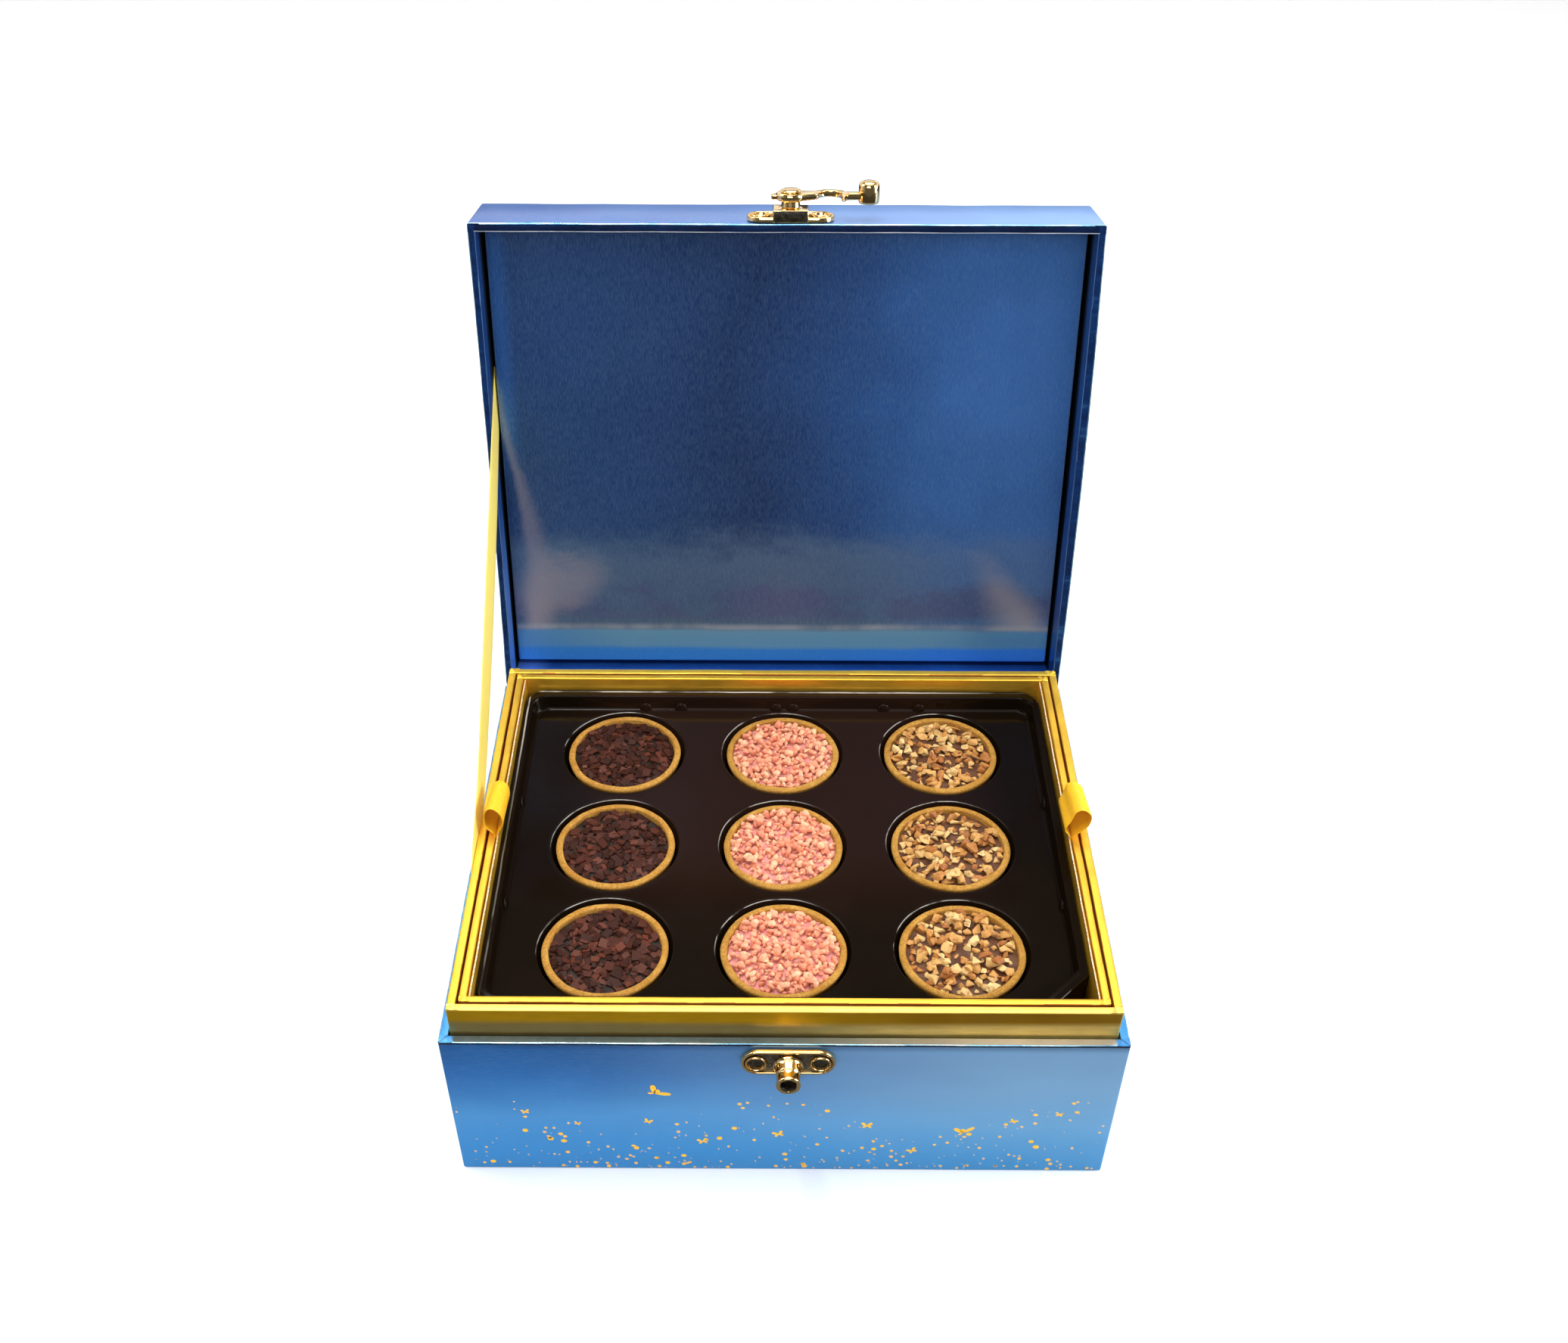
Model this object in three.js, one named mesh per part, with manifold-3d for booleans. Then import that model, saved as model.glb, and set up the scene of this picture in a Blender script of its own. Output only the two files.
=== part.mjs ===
// An open gift box of filled tartlets: a foil-covered board box with a hinged lid, a gold neck,
// a lift-out gold tray, a dark moulded insert and nine tartlets in three flavours.
// Millimetres. X is to the right, Y to the back, Z up. The origin is the centre of the underside.

import * as THREE from "three";
import { mergeVertices } from "three/addons/utils/BufferGeometryUtils.js";
import Module from "manifold-3d";

const wasm = await Module();
wasm.setup();

// Driving dimensions of the outer box
const BOX_WIDTH = 240;
const BOX_DEPTH = 194.4;
const BASE_HEIGHT = 75.2;
const BASE_WALL = 3.2;

// The gold neck that stands up out of the base
const NECK_SIDE_GAP = 0.5;
const NECK_FRONT_GAP = 0.9;
const NECK_WALL = 3.1;
const NECK_RISE = 12.7;
const REST_GAP = 0.3;

// The lift-out tray and its side liners
const TRAY_GAP = 0.7;
const TRAY_WALL = 2.7;
const TRAY_FLOOR = 2.8;
const LINER_SLIT = 0.5;
const LINER_THICKNESS = 0.6;
const LINER_BELOW_RIM = 0.7;

// The dark moulded insert
const INSERT_GAP = 0.5;
const INSERT_WALL = 0.8;
const INSERT_RIM_BELOW_TRAY = 5.6;
const INSERT_PANEL_BELOW_RIM = 6.3;
const INSERT_BORDER_SIDE = 2.8;
const INSERT_BORDER_FRONT = 4.2;
const INSERT_DRAFT = 1.2;
const INSERT_CORNER = 9;
const INSERT_CHAMFER = 15;
const POCKET_RADIUS = 24.8;
const POCKET_FOOT_RADIUS = 19.6;
const POCKET_SEGMENTS = 20;

// The tartlets
const COLUMN_PITCH = 65.2;
const ROW_PITCH = 53.9;
const ROWS_SHIFT = -0.5;
const TART_RADIUS = 23.2;
const TART_FOOT_RADIUS = 18.3;
const TART_HEIGHT = 18.5;
const TART_BELOW_PANEL = 0.2;
const CRUST = 2.6;
const CRUST_FLOOR = 3.2;
const TART_SEGMENTS = 20;
const FILLING_BELOW_RIM = 1.7;
const FILLING_DOME = 0.6;

// The lid, modelled shut: it turns about the top back edge of the base
const LID_OPEN_DEGREES = 102;
const LID_WIDTH = 239.2;
const LID_DEPTH = 194.2;
const LID_RIM_GAP = 0.3;
const LID_HEIGHT = 36;
const LID_WALL = 2.8;
const PANEL_INSET = 15;
const PANEL_SIDE_GAP = 1.1;
const PANEL_FRONT_GAP = 1;
const PANEL_BACK_GAP = 2.1;
const PANEL_BOARD = 2.6;

// The ribbons
const RIBBON_THICKNESS = 0.3;
const STAY_WIDTH = 15;
const STAY_SAG = 3;
const STAY_LID_ALONG = 120;
const STAY_BASE_Y = -11;
const STAY_TUCK_IN_LID = 13;
const STAY_TUCK_IN_BASE = 24;
const LOOP_WIDTH = 16;
const LOOP_TAIL = 14;

// The latch
const LATCH_X = 1.5;
const PLATE_LENGTH = 33;
const PLATE_HEIGHT = 11.5;
const PLATE_BELOW_BASE_RIM = 8.2;
const PLATE_FROM_LID_RIM = 6.2;
const PLATE_BACKING = 1.3;
const PLATE_RIM_PROUD = 2.2;
const PLATE_RIM_WIDTH = 1.1;
const PLATE_OFF_WALL = 0.3;
const RIVET_SPACING = 22.6;
const RIVET_RADIUS = 3.7;
const STUD_RADIUS = 4.4;
const STUD_SHOULDER = 5.4;
const STUD_FOOT = 4.2;
const STUD_GROOVE = 3.4;
const STUD_LENGTH = 11.8;
const HOOK_LOW = 7.7;
const HOOK_THICKNESS = 2.5;
const HOOK_BITE = 3.8;
const HOOK_ARM = 2.6;
const KNOB_DISTANCE = 29.2;
const KNOB_RADIUS = 3.9;
const KNOB_LOW = 6.3;
const KNOB_HIGH = 14.5;

// Heights and half widths worked out from the above
const NECK_TOP = BASE_HEIGHT + NECK_RISE;
const NECK_HALF_X = BOX_WIDTH / 2 - BASE_WALL - NECK_SIDE_GAP;
const NECK_HALF_Y = BOX_DEPTH / 2 - BASE_WALL - NECK_FRONT_GAP;
const TRAY_HALF_X = NECK_HALF_X - NECK_WALL - TRAY_GAP;
const TRAY_HALF_Y = NECK_HALF_Y - NECK_WALL - TRAY_GAP;
const TRAY_INNER_X = TRAY_HALF_X - TRAY_WALL;
const TRAY_INNER_Y = TRAY_HALF_Y - TRAY_WALL;
const LINER_INNER_X = TRAY_INNER_X - LINER_SLIT - LINER_THICKNESS;
const INSERT_HALF_X = LINER_INNER_X - INSERT_GAP;
const INSERT_HALF_Y = TRAY_INNER_Y - INSERT_GAP;
const INSERT_TOP = NECK_TOP - INSERT_RIM_BELOW_TRAY;
const PANEL_Z = INSERT_TOP - INSERT_PANEL_BELOW_RIM;
const TART_TOP = PANEL_Z - TART_BELOW_PANEL;
const TART_BASE = TART_TOP - TART_HEIGHT;
const INSERT_FOOT = TART_BASE - REST_GAP - INSERT_WALL;
const TRAY_FLOOR_TOP = INSERT_FOOT - REST_GAP;
const BASE_FLOOR_TOP = BASE_WALL;
const WALLS_FOOT = BASE_FLOOR_TOP + REST_GAP;
const STUD_TO_PIVOT = PLATE_BELOW_BASE_RIM + LID_RIM_GAP + PLATE_FROM_LID_RIM;
const FRONT_Y = -BOX_DEPTH / 2;

// Finishes
const finish = (color, roughness, metalness) =>
  new THREE.MeshStandardMaterial({ color, roughness, metalness });
const BLUE_FOIL = finish(0x2f6fbe, 0.3, 0.6);
const NAVY_FOIL = finish(0x24406f, 0.25, 0.6);
const GOLD_PAPER = finish(0xd9a62a, 0.35, 0.6);
const RAW_CARD = finish(0xe8dcc0, 0.9, 0);
const DARK_PLASTIC = finish(0x241a17, 0.12, 0);
const SATIN = finish(0xf2bb2c, 0.5, 0.1);
const POLISHED_GOLD = finish(0xe2b25a, 0.12, 1);
const CRUST_BROWN = finish(0xe0b069, 0.8, 0);
const COCOA = finish(0x45261f, 0.5, 0);
const PINK = finish(0xeb9a86, 0.7, 0);
const NUT = finish(0xd6a868, 0.7, 0);

// A repeatable stream of numbers between 0 and 1
function randomStream(seed) {
  let state = seed;
  return () => {
    state = (Math.imul(state, 1664525) + 1013904223) >>> 0;
    return state / 4294967296;
  };
}

// A closed geometry as a solid that can be joined and cut
function solid(geometry) {
  const bare = geometry.clone();
  bare.deleteAttribute("normal");
  bare.deleteAttribute("uv");
  const merged = mergeVertices(bare, 1e-4);
  return new wasm.Manifold(
    new wasm.Mesh({
      numProp: 3,
      vertProperties: new Float32Array(merged.attributes.position.array),
      triVerts: new Uint32Array(merged.index.array),
    }),
  );
}

// A solid back as a geometry, with flat faces
function geometryOf(shape) {
  const mesh = shape.getMesh();
  const geometry = new THREE.BufferGeometry();
  geometry.setAttribute("position", new THREE.BufferAttribute(mesh.vertProperties, 3));
  geometry.setIndex(new THREE.BufferAttribute(mesh.triVerts, 1));
  const flat = geometry.toNonIndexed();
  flat.computeVertexNormals();
  return flat;
}

function named(name, geometry, material) {
  const mesh = new THREE.Mesh(geometry, material);
  mesh.name = name;
  return mesh;
}

function joined(shapes) {
  return shapes.reduce((sum, next) => sum.add(next));
}

// A block between two corners
function block(low, high) {
  const size = high.map((value, axis) => value - low[axis]);
  const middle = high.map((value, axis) => (value + low[axis]) / 2);
  return solid(new THREE.BoxGeometry(...size).translate(...middle));
}

// An outline pulled up from one height to another
function prism(outline, low, high, curveSegments = 6) {
  const settings = { depth: high - low, bevelEnabled: false, curveSegments };
  return new THREE.ExtrudeGeometry(outline, settings).translate(0, 0, low);
}

// A turned piece about the Z axis from [radius, height] points
function turned(profile, segments) {
  const points = profile.map(([radius, height]) => new THREE.Vector2(radius, height));
  return new THREE.LatheGeometry(points, segments).rotateX(Math.PI / 2);
}

// A four-sided wall ring with square corners
function wallRing(halfX, halfY, wall, low, high) {
  const outer = block([-halfX, -halfY, low], [halfX, halfY, high]);
  const innerX = halfX - wall;
  const innerY = halfY - wall;
  const inner = block([-innerX, -innerY, low - 1], [innerX, innerY, high + 1]);
  return outer.subtract(inner);
}

function baseBox() {
  const halfX = BOX_WIDTH / 2;
  const halfY = BOX_DEPTH / 2;
  const outer = block([-halfX, -halfY, 0], [halfX, halfY, BASE_HEIGHT]);
  const innerX = halfX - BASE_WALL;
  const innerY = halfY - BASE_WALL;
  const inner = block([-innerX, -innerY, BASE_FLOOR_TOP], [innerX, innerY, BASE_HEIGHT + 1]);
  return named("base_box", geometryOf(outer.subtract(inner)), BLUE_FOIL);
}

function neck() {
  const ring = wallRing(NECK_HALF_X, NECK_HALF_Y, NECK_WALL, WALLS_FOOT, NECK_TOP);
  return named("neck", geometryOf(ring), GOLD_PAPER);
}

// The tray's walls reach down to the base, and its floor lies just under the insert
function trayBox() {
  const walls = wallRing(TRAY_HALF_X, TRAY_HALF_Y, TRAY_WALL, WALLS_FOOT, NECK_TOP);
  const low = [-TRAY_INNER_X - 1, -TRAY_INNER_Y - 1, TRAY_FLOOR_TOP - TRAY_FLOOR];
  const high = [TRAY_INNER_X + 1, TRAY_INNER_Y + 1, TRAY_FLOOR_TOP];
  return named("tray_box", geometryOf(walls.add(block(low, high))), GOLD_PAPER);
}

function liner(side, name) {
  const xs = [side * LINER_INNER_X, side * (LINER_INNER_X + LINER_THICKNESS)];
  const halfY = TRAY_INNER_Y - REST_GAP;
  const low = [Math.min(...xs), -halfY, TRAY_FLOOR_TOP + REST_GAP];
  const high = [Math.max(...xs), halfY, NECK_TOP - LINER_BELOW_RIM];
  return named(name, geometryOf(block(low, high)), RAW_CARD);
}

// The insert's outline: three round corners and a chamfer at the front right
function insertOutline(halfX, halfY, corner, chamfer) {
  const outline = new THREE.Shape();
  outline.moveTo(-halfX + corner, -halfY);
  outline.lineTo(halfX - chamfer, -halfY);
  outline.lineTo(halfX, -halfY + chamfer);
  outline.lineTo(halfX, halfY - corner);
  outline.absarc(halfX - corner, halfY - corner, corner, 0, Math.PI / 2, false);
  outline.absarc(-halfX + corner, halfY - corner, corner, Math.PI / 2, Math.PI, false);
  outline.absarc(-halfX + corner, -halfY + corner, corner, Math.PI, 1.5 * Math.PI, false);
  return outline;
}

function tartPlaces() {
  const rows = [["back", 1], ["middle", 0], ["front", -1]];
  const columns = [["left", -1], ["centre", 0], ["right", 1]];
  return rows.flatMap(([row, up]) =>
    columns.map(([column, across]) => ({
      row,
      column,
      x: across * COLUMN_PITCH,
      y: ROWS_SHIFT + up * ROW_PITCH,
    })),
  );
}

// A cone stub that holds a tartlet, grown by the wall for its outside
function pocket(grow, low, high) {
  const slope = (POCKET_RADIUS - POCKET_FOOT_RADIUS) / (PANEL_Z - TART_BASE + REST_GAP);
  const foot = TART_BASE - REST_GAP;
  const radiusAt = (z) => POCKET_FOOT_RADIUS + slope * (z - foot) + grow;
  const profile = [[0, low], [radiusAt(low), low], [radiusAt(high), high], [0, high]];
  return solid(turned(profile, POCKET_SEGMENTS));
}

// A recess that narrows downwards, made of a lower and an upper outline
function draftedRecess(offset, low, high) {
  const cornerAt = INSERT_CORNER - INSERT_BORDER_SIDE;
  const chamferAt = INSERT_CHAMFER - 1;
  const upper = [
    INSERT_HALF_X - INSERT_BORDER_SIDE + offset,
    INSERT_HALF_Y - INSERT_BORDER_FRONT + offset,
  ];
  const made = prism(insertOutline(...upper, cornerAt, chamferAt), low, high, 4);
  const position = made.attributes.position;
  for (let i = 0; i < position.count; i++) {
    if (position.getZ(i) > low + 1e-6) continue;
    position.setX(i, position.getX(i) * (1 - INSERT_DRAFT / upper[0]));
    position.setY(i, position.getY(i) * (1 - INSERT_DRAFT / upper[1]));
  }
  return solid(made);
}

function insert() {
  const outline = insertOutline(INSERT_HALF_X, INSERT_HALF_Y, INSERT_CORNER, INSERT_CHAMFER);
  const wall = INSERT_WALL;
  const inside = insertOutline(
    INSERT_HALF_X - wall,
    INSERT_HALF_Y - wall,
    INSERT_CORNER - wall,
    INSERT_CHAMFER,
  );
  const outer = solid(prism(outline, INSERT_FOOT, INSERT_TOP, 4));
  const underside = solid(prism(inside, INSERT_FOOT - 1, INSERT_TOP - wall, 4));
  const skin = outer.subtract(underside);
  const dish = draftedRecess(wall, PANEL_Z - wall, INSERT_TOP - wall / 2);
  const recess = draftedRecess(0, PANEL_Z, INSERT_TOP + 1);
  let shape = skin.add(dish).subtract(recess);
  const cup = pocket(wall, INSERT_FOOT, PANEL_Z - wall / 2);
  const hollow = pocket(0, TART_BASE - REST_GAP, PANEL_Z + 1);
  const places = tartPlaces();
  shape = joined([shape, ...places.map(({ x, y }) => cup.translate([x, y, 0]))]);
  for (const { x, y } of places) shape = shape.subtract(hollow.translate([x, y, 0]));
  return named("insert", geometryOf(shape), DARK_PLASTIC);
}

// Each tartlet is a little out of round, by the same rule for its crust and its filling
function outOfRound(geometry, seed) {
  const random = randomStream(seed);
  const phases = [random(), random(), random()].map((share) => share * 2 * Math.PI);
  const position = geometry.attributes.position;
  for (let i = 0; i < position.count; i++) {
    const x = position.getX(i);
    const y = position.getY(i);
    const angle = Math.atan2(y, x);
    const swell = 0.008 * Math.cos(2 * angle + phases[0]) + 0.004 * Math.cos(5 * angle + phases[1]);
    const high = position.getZ(i) / TART_HEIGHT;
    const lift = 0.25 * high * high * Math.cos(3 * angle + phases[2]) * (Math.hypot(x, y) / TART_RADIUS);
    position.setXYZ(i, x * (1 + swell), y * (1 + swell), position.getZ(i) + lift);
  }
  return geometry;
}

function tartShell({ row, column, x, y }, seed) {
  const rimInner = TART_RADIUS - CRUST;
  const profile = [
    [0, 0],
    [TART_FOOT_RADIUS - 0.8, 0],
    [TART_FOOT_RADIUS, 0.9],
    [TART_RADIUS - 0.1, TART_HEIGHT - 1.6],
    [TART_RADIUS - 0.4, TART_HEIGHT - 0.5],
    [TART_RADIUS - CRUST / 2, TART_HEIGHT],
    [rimInner, TART_HEIGHT - 0.7],
    [TART_FOOT_RADIUS - CRUST + 0.4, CRUST_FLOOR],
    [0, CRUST_FLOOR],
  ];
  const geometry = outOfRound(turned(profile, TART_SEGMENTS), seed);
  const mesh = named(`tart_shell_${row}_${column}`, geometry, CRUST_BROWN);
  mesh.position.set(x, y, TART_BASE);
  return mesh;
}

// The bare filling, a hair inside the crust
function fillingCore(seed) {
  const gap = REST_GAP;
  const top = TART_HEIGHT - FILLING_BELOW_RIM;
  const lowRadius = TART_FOOT_RADIUS - CRUST + 0.4;
  const highRadius = TART_RADIUS - CRUST;
  const slope = (highRadius - lowRadius) / (TART_HEIGHT - 0.7 - CRUST_FLOOR);
  const edge = lowRadius + slope * (top - CRUST_FLOOR) - gap;
  const profile = [
    [0, CRUST_FLOOR + gap],
    [lowRadius - gap, CRUST_FLOOR + gap],
    [edge, top],
    [edge * 0.6, top + FILLING_DOME * 0.8],
    [0, top + FILLING_DOME],
  ];
  return { core: solid(outOfRound(turned(profile, TART_SEGMENTS), seed)), edge, top };
}

// Square slabs of chocolate
function flake(random, share) {
  const long = 4.4 - 0.9 * share;
  const wide = long * (0.75 + 0.2 * random());
  const tilt = (random() - 0.5) * 0.7;
  return new THREE.BoxGeometry(long, wide, 1.1).rotateX(tilt).rotateY((random() - 0.5) * 0.5);
}

// Rounded lumps of pink crunch
function crumb(random, share) {
  const size = 2.2 - 0.5 * share;
  const lump = new THREE.IcosahedronGeometry(1, 0);
  return lump.rotateX(random() * 3).scale(size * (0.9 + 0.4 * random()), size * 0.9, size * 0.75);
}

// Chopped pieces of nut with broken faces
function nutPiece(random, share) {
  const size = 2.7 - 0.6 * share;
  const sides = random() < 0.5 ? 4 : 5;
  const wedge = new THREE.CylinderGeometry(size * 0.55, size, size * 1.2, sides);
  return wedge.scale(1.1, 1, 0.75 + 0.2 * random()).rotateX(1.2 + 0.7 * random());
}

const FLAVOURS = {
  left: { name: "flake_filling", piece: flake, count: 15, reach: 2.9, rise: 0.35, material: COCOA },
  centre: { name: "crunch_filling", piece: crumb, count: 15, reach: 2.6, rise: 0.45, material: PINK },
  right: { name: "nut_filling", piece: nutPiece, count: 15, reach: 3.2, rise: 0.5, material: NUT },
};

// The filling with its largest toppings fused on, spread evenly from the middle out
function tartFilling({ row, column, x, y }, seed) {
  const flavour = FLAVOURS[column];
  const { core, edge, top } = fillingCore(seed);
  const random = randomStream(seed + 77);
  const goldenAngle = Math.PI * (3 - Math.sqrt(5));
  const pieces = [];
  for (let i = 0; i < flavour.count; i++) {
    const out = (edge - flavour.reach) * Math.sqrt((i + 0.4) / flavour.count);
    const angle = i * goldenAngle + 0.35 * (random() - 0.5);
    const share = ((i * 7) % flavour.count) / flavour.count;
    const height = top + FILLING_DOME * (1 - out / edge) + flavour.rise;
    const turn = random() * 2 * Math.PI;
    const shape = flavour.piece(random, share).rotateZ(turn);
    pieces.push(solid(shape.translate(out * Math.cos(angle), out * Math.sin(angle), height)));
  }
  const geometry = geometryOf(joined([core, ...pieces]));
  const mesh = named(`${flavour.name}_${row}`, geometry, flavour.material);
  mesh.position.set(x, y, TART_BASE);
  return mesh;
}

// A pull loop: one ribbon bent into a drop, both ends down the slit beside the liner
function pullLoop(side, name, height, swing, lean) {
  const slitX = TRAY_INNER_X - LINER_SLIT / 2;
  const foot = NECK_TOP - LOOP_TAIL;
  const path = new THREE.CatmullRomCurve3(
    [
      [0, 0],
      [-0.5 * swing, 0.3 * height],
      [-0.46 * swing + lean, 0.72 * height],
      [lean, height],
      [0.46 * swing + lean, 0.72 * height],
      [0.5 * swing, 0.3 * height],
      [0.02, 0],
    ].map(([x, z]) => new THREE.Vector3(x, 0, z)),
    false,
    "centripetal",
  );
  const middle = path.getPoints(22);
  const half = RIBBON_THICKNESS / 2;
  const outside = [];
  const inside = [];
  middle.forEach((point, i) => {
    const before = middle[Math.max(i - 1, 0)];
    const after = middle[Math.min(i + 1, middle.length - 1)];
    const along = after.clone().sub(before).normalize();
    outside.push([point.x - along.z * half, point.z + along.x * half]);
    inside.push([point.x + along.z * half, point.z - along.x * half]);
  });
  const open = inside.slice(2, -2);
  const outer = new THREE.Shape(outside.slice(1, -1).map(([x, z]) => new THREE.Vector2(x, z)));
  const hole = new THREE.Shape(open.map(([x, z]) => new THREE.Vector2(x, z)));
  const drop = solid(prism(outer, -LOOP_WIDTH / 2, LOOP_WIDTH / 2));
  const bore = solid(prism(hole, -LOOP_WIDTH / 2 - 1, LOOP_WIDTH / 2 + 1));
  const tail = block([-half, -LOOP_TAIL, -LOOP_WIDTH / 2], [half, 1.2, LOOP_WIDTH / 2]);
  const loop = geometryOf(drop.subtract(bore).add(tail)).rotateX(Math.PI / 2);
  const mesh = named(name, loop, SATIN);
  mesh.position.set(side * slitX, 0, foot + LOOP_TAIL);
  return mesh;
}

// Where a point of the shut lid lies when the lid is open
function openedPoint(along, up) {
  const angle = THREE.MathUtils.degToRad(LID_OPEN_DEGREES);
  const y = BOX_DEPTH / 2 - along * Math.cos(angle) + up * Math.sin(angle);
  const z = BASE_HEIGHT + along * Math.sin(angle) + up * Math.cos(angle);
  return new THREE.Vector2(y, z);
}

// The ribbon that stops the lid: flat against the left side, from the lid's gap to the neck's
function ribbonStay() {
  const lidEnd = openedPoint(STAY_LID_ALONG, PANEL_INSET);
  const baseEnd = new THREE.Vector2(STAY_BASE_Y, NECK_TOP);
  const along = lidEnd.clone().sub(baseEnd);
  const length = along.length();
  along.normalize();
  const across = new THREE.Vector2(-along.y, along.x);
  const steps = 10;
  const edges = [[], []];
  for (let i = 0; i <= steps; i++) {
    const share = i / steps;
    const reach = -STAY_TUCK_IN_BASE + share * (length + STAY_TUCK_IN_BASE + STAY_TUCK_IN_LID);
    const free = THREE.MathUtils.clamp(reach / length, 0, 1);
    const sag = 4 * STAY_SAG * free * (1 - free);
    for (const [edge, sign] of [[edges[0], 1], [edges[1], -1]]) {
      const offset = (sign * STAY_WIDTH) / 2 - sag;
      edge.push(baseEnd.clone().addScaledVector(along, reach).addScaledVector(across, offset));
    }
  }
  const outline = new THREE.Shape([...edges[1], ...edges[0].reverse()]);
  const band = prism(outline, 0, RIBBON_THICKNESS);
  band.applyMatrix4(new THREE.Matrix4().set(0, 0, 1, 0, 1, 0, 0, 0, 0, 1, 0, 0, 0, 0, 0, 1));
  const mesh = named("ribbon_stay", band, SATIN);
  mesh.position.x = -NECK_HALF_X - NECK_SIDE_GAP / 2 - RIBBON_THICKNESS / 2;
  return mesh;
}

// The lid shell in the hinge's frame, shut: Y runs to the front as negative, Z up from the rim
function lidShell() {
  const halfX = LID_WIDTH / 2;
  const outer = block([-halfX, -LID_DEPTH, LID_RIM_GAP], [halfX, 0, LID_HEIGHT]);
  const inner = block(
    [-halfX + LID_WALL, -LID_DEPTH + LID_WALL, LID_RIM_GAP - 1],
    [halfX - LID_WALL, -LID_WALL, LID_HEIGHT - LID_WALL],
  );
  return named("lid_shell", geometryOf(outer.subtract(inner)), BLUE_FOIL);
}

// The raised panel inside the lid, a shallow tray glued in upside down
function lidPanel() {
  const halfX = LID_WIDTH / 2 - LID_WALL - PANEL_SIDE_GAP;
  const front = -LID_DEPTH + LID_WALL + PANEL_FRONT_GAP;
  const back = -LID_WALL - PANEL_BACK_GAP;
  const top = LID_HEIGHT - LID_WALL - REST_GAP;
  const outer = block([-halfX, front, PANEL_INSET], [halfX, back, top]);
  const inner = block(
    [-halfX + PANEL_BOARD, front + PANEL_BOARD, PANEL_INSET + PANEL_BOARD],
    [halfX - PANEL_BOARD, back - PANEL_BOARD, top + 1],
  );
  return named("lid_panel", geometryOf(outer.subtract(inner)), NAVY_FOIL);
}

// A plate with round ends in the XY plane
function stadium(length, height) {
  const radius = height / 2;
  const straight = length / 2 - radius;
  const outline = new THREE.Shape();
  outline.absarc(straight, 0, radius, -Math.PI / 2, Math.PI / 2, false);
  outline.absarc(-straight, 0, radius, Math.PI / 2, 1.5 * Math.PI, false);
  return outline;
}

// The latch plates are made flat, front side up, and turned onto the front wall by their group
function latchPlate(name) {
  const low = PLATE_OFF_WALL;
  const whole = solid(prism(stadium(PLATE_LENGTH, PLATE_HEIGHT), low, PLATE_RIM_PROUD, 7));
  const dishLength = PLATE_LENGTH - 2 * PLATE_RIM_WIDTH;
  const dishHeight = PLATE_HEIGHT - 2 * PLATE_RIM_WIDTH;
  const dish = solid(prism(stadium(dishLength, dishHeight), PLATE_BACKING, PLATE_RIM_PROUD + 1, 7));
  return named(name, geometryOf(whole.subtract(dish)), POLISHED_GOLD);
}

// A hollow rivet with a rolled edge
function rivet(name, side) {
  const low = PLATE_BACKING + REST_GAP;
  const profile = [
    [0, low],
    [RIVET_RADIUS - 0.2, low],
    [RIVET_RADIUS, low + 0.5],
    [RIVET_RADIUS - 0.5, low + 1.1],
    [RIVET_RADIUS - 1.1, low + 0.9],
    [RIVET_RADIUS - 1.5, low + 0.4],
    [0, low + 0.4],
  ];
  const mesh = named(name, turned(profile, 12), POLISHED_GOLD);
  mesh.position.x = (side * RIVET_SPACING) / 2;
  return mesh;
}

// The stud: shoulder, waist where the hook bites, collar and hollow end
function latchStud() {
  const low = PLATE_BACKING + REST_GAP;
  const grooveLow = HOOK_LOW - 0.5;
  const grooveHigh = HOOK_LOW + HOOK_THICKNESS + 0.4;
  const profile = [
    [0, low],
    [STUD_FOOT, low],
    [STUD_FOOT, PLATE_RIM_PROUD + REST_GAP],
    [STUD_SHOULDER, PLATE_RIM_PROUD + REST_GAP],
    [STUD_SHOULDER - 0.3, PLATE_RIM_PROUD + 1],
    [STUD_RADIUS, PLATE_RIM_PROUD + 1.6],
    [STUD_RADIUS, grooveLow - 0.3],
    [STUD_GROOVE, grooveLow],
    [STUD_GROOVE, grooveHigh],
    [STUD_RADIUS - 0.1, grooveHigh + 0.3],
    [STUD_RADIUS - 0.1, STUD_LENGTH - 0.3],
    [STUD_RADIUS - 0.6, STUD_LENGTH],
    [STUD_RADIUS - 1.5, STUD_LENGTH - 0.2],
    [1.6, STUD_LENGTH - 3],
    [0, STUD_LENGTH - 3.4],
  ];
  return named("latch_stud", turned(profile, 14), POLISHED_GOLD);
}

// The lid's raised block with the post that the hook turns on
function latchPost() {
  const low = PLATE_BACKING + REST_GAP;
  const blockTop = 4.3;
  const base = block([-6.5, -4.3, low], [6.5, 4.3, blockTop]);
  const profile = [
    [0, blockTop - 1],
    [4.3, blockTop - 1],
    [4.3, HOOK_LOW - REST_GAP],
    [2.5, HOOK_LOW - REST_GAP],
    [2.5, HOOK_LOW + HOOK_THICKNESS + REST_GAP],
    [3.7, HOOK_LOW + HOOK_THICKNESS + REST_GAP],
    [3.2, HOOK_LOW + HOOK_THICKNESS + 0.9],
    [0, HOOK_LOW + HOOK_THICKNESS + 1.3],
  ];
  const shape = base.add(solid(turned(profile, 16)));
  return named("latch_post", geometryOf(shape), POLISHED_GOLD);
}

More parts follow.
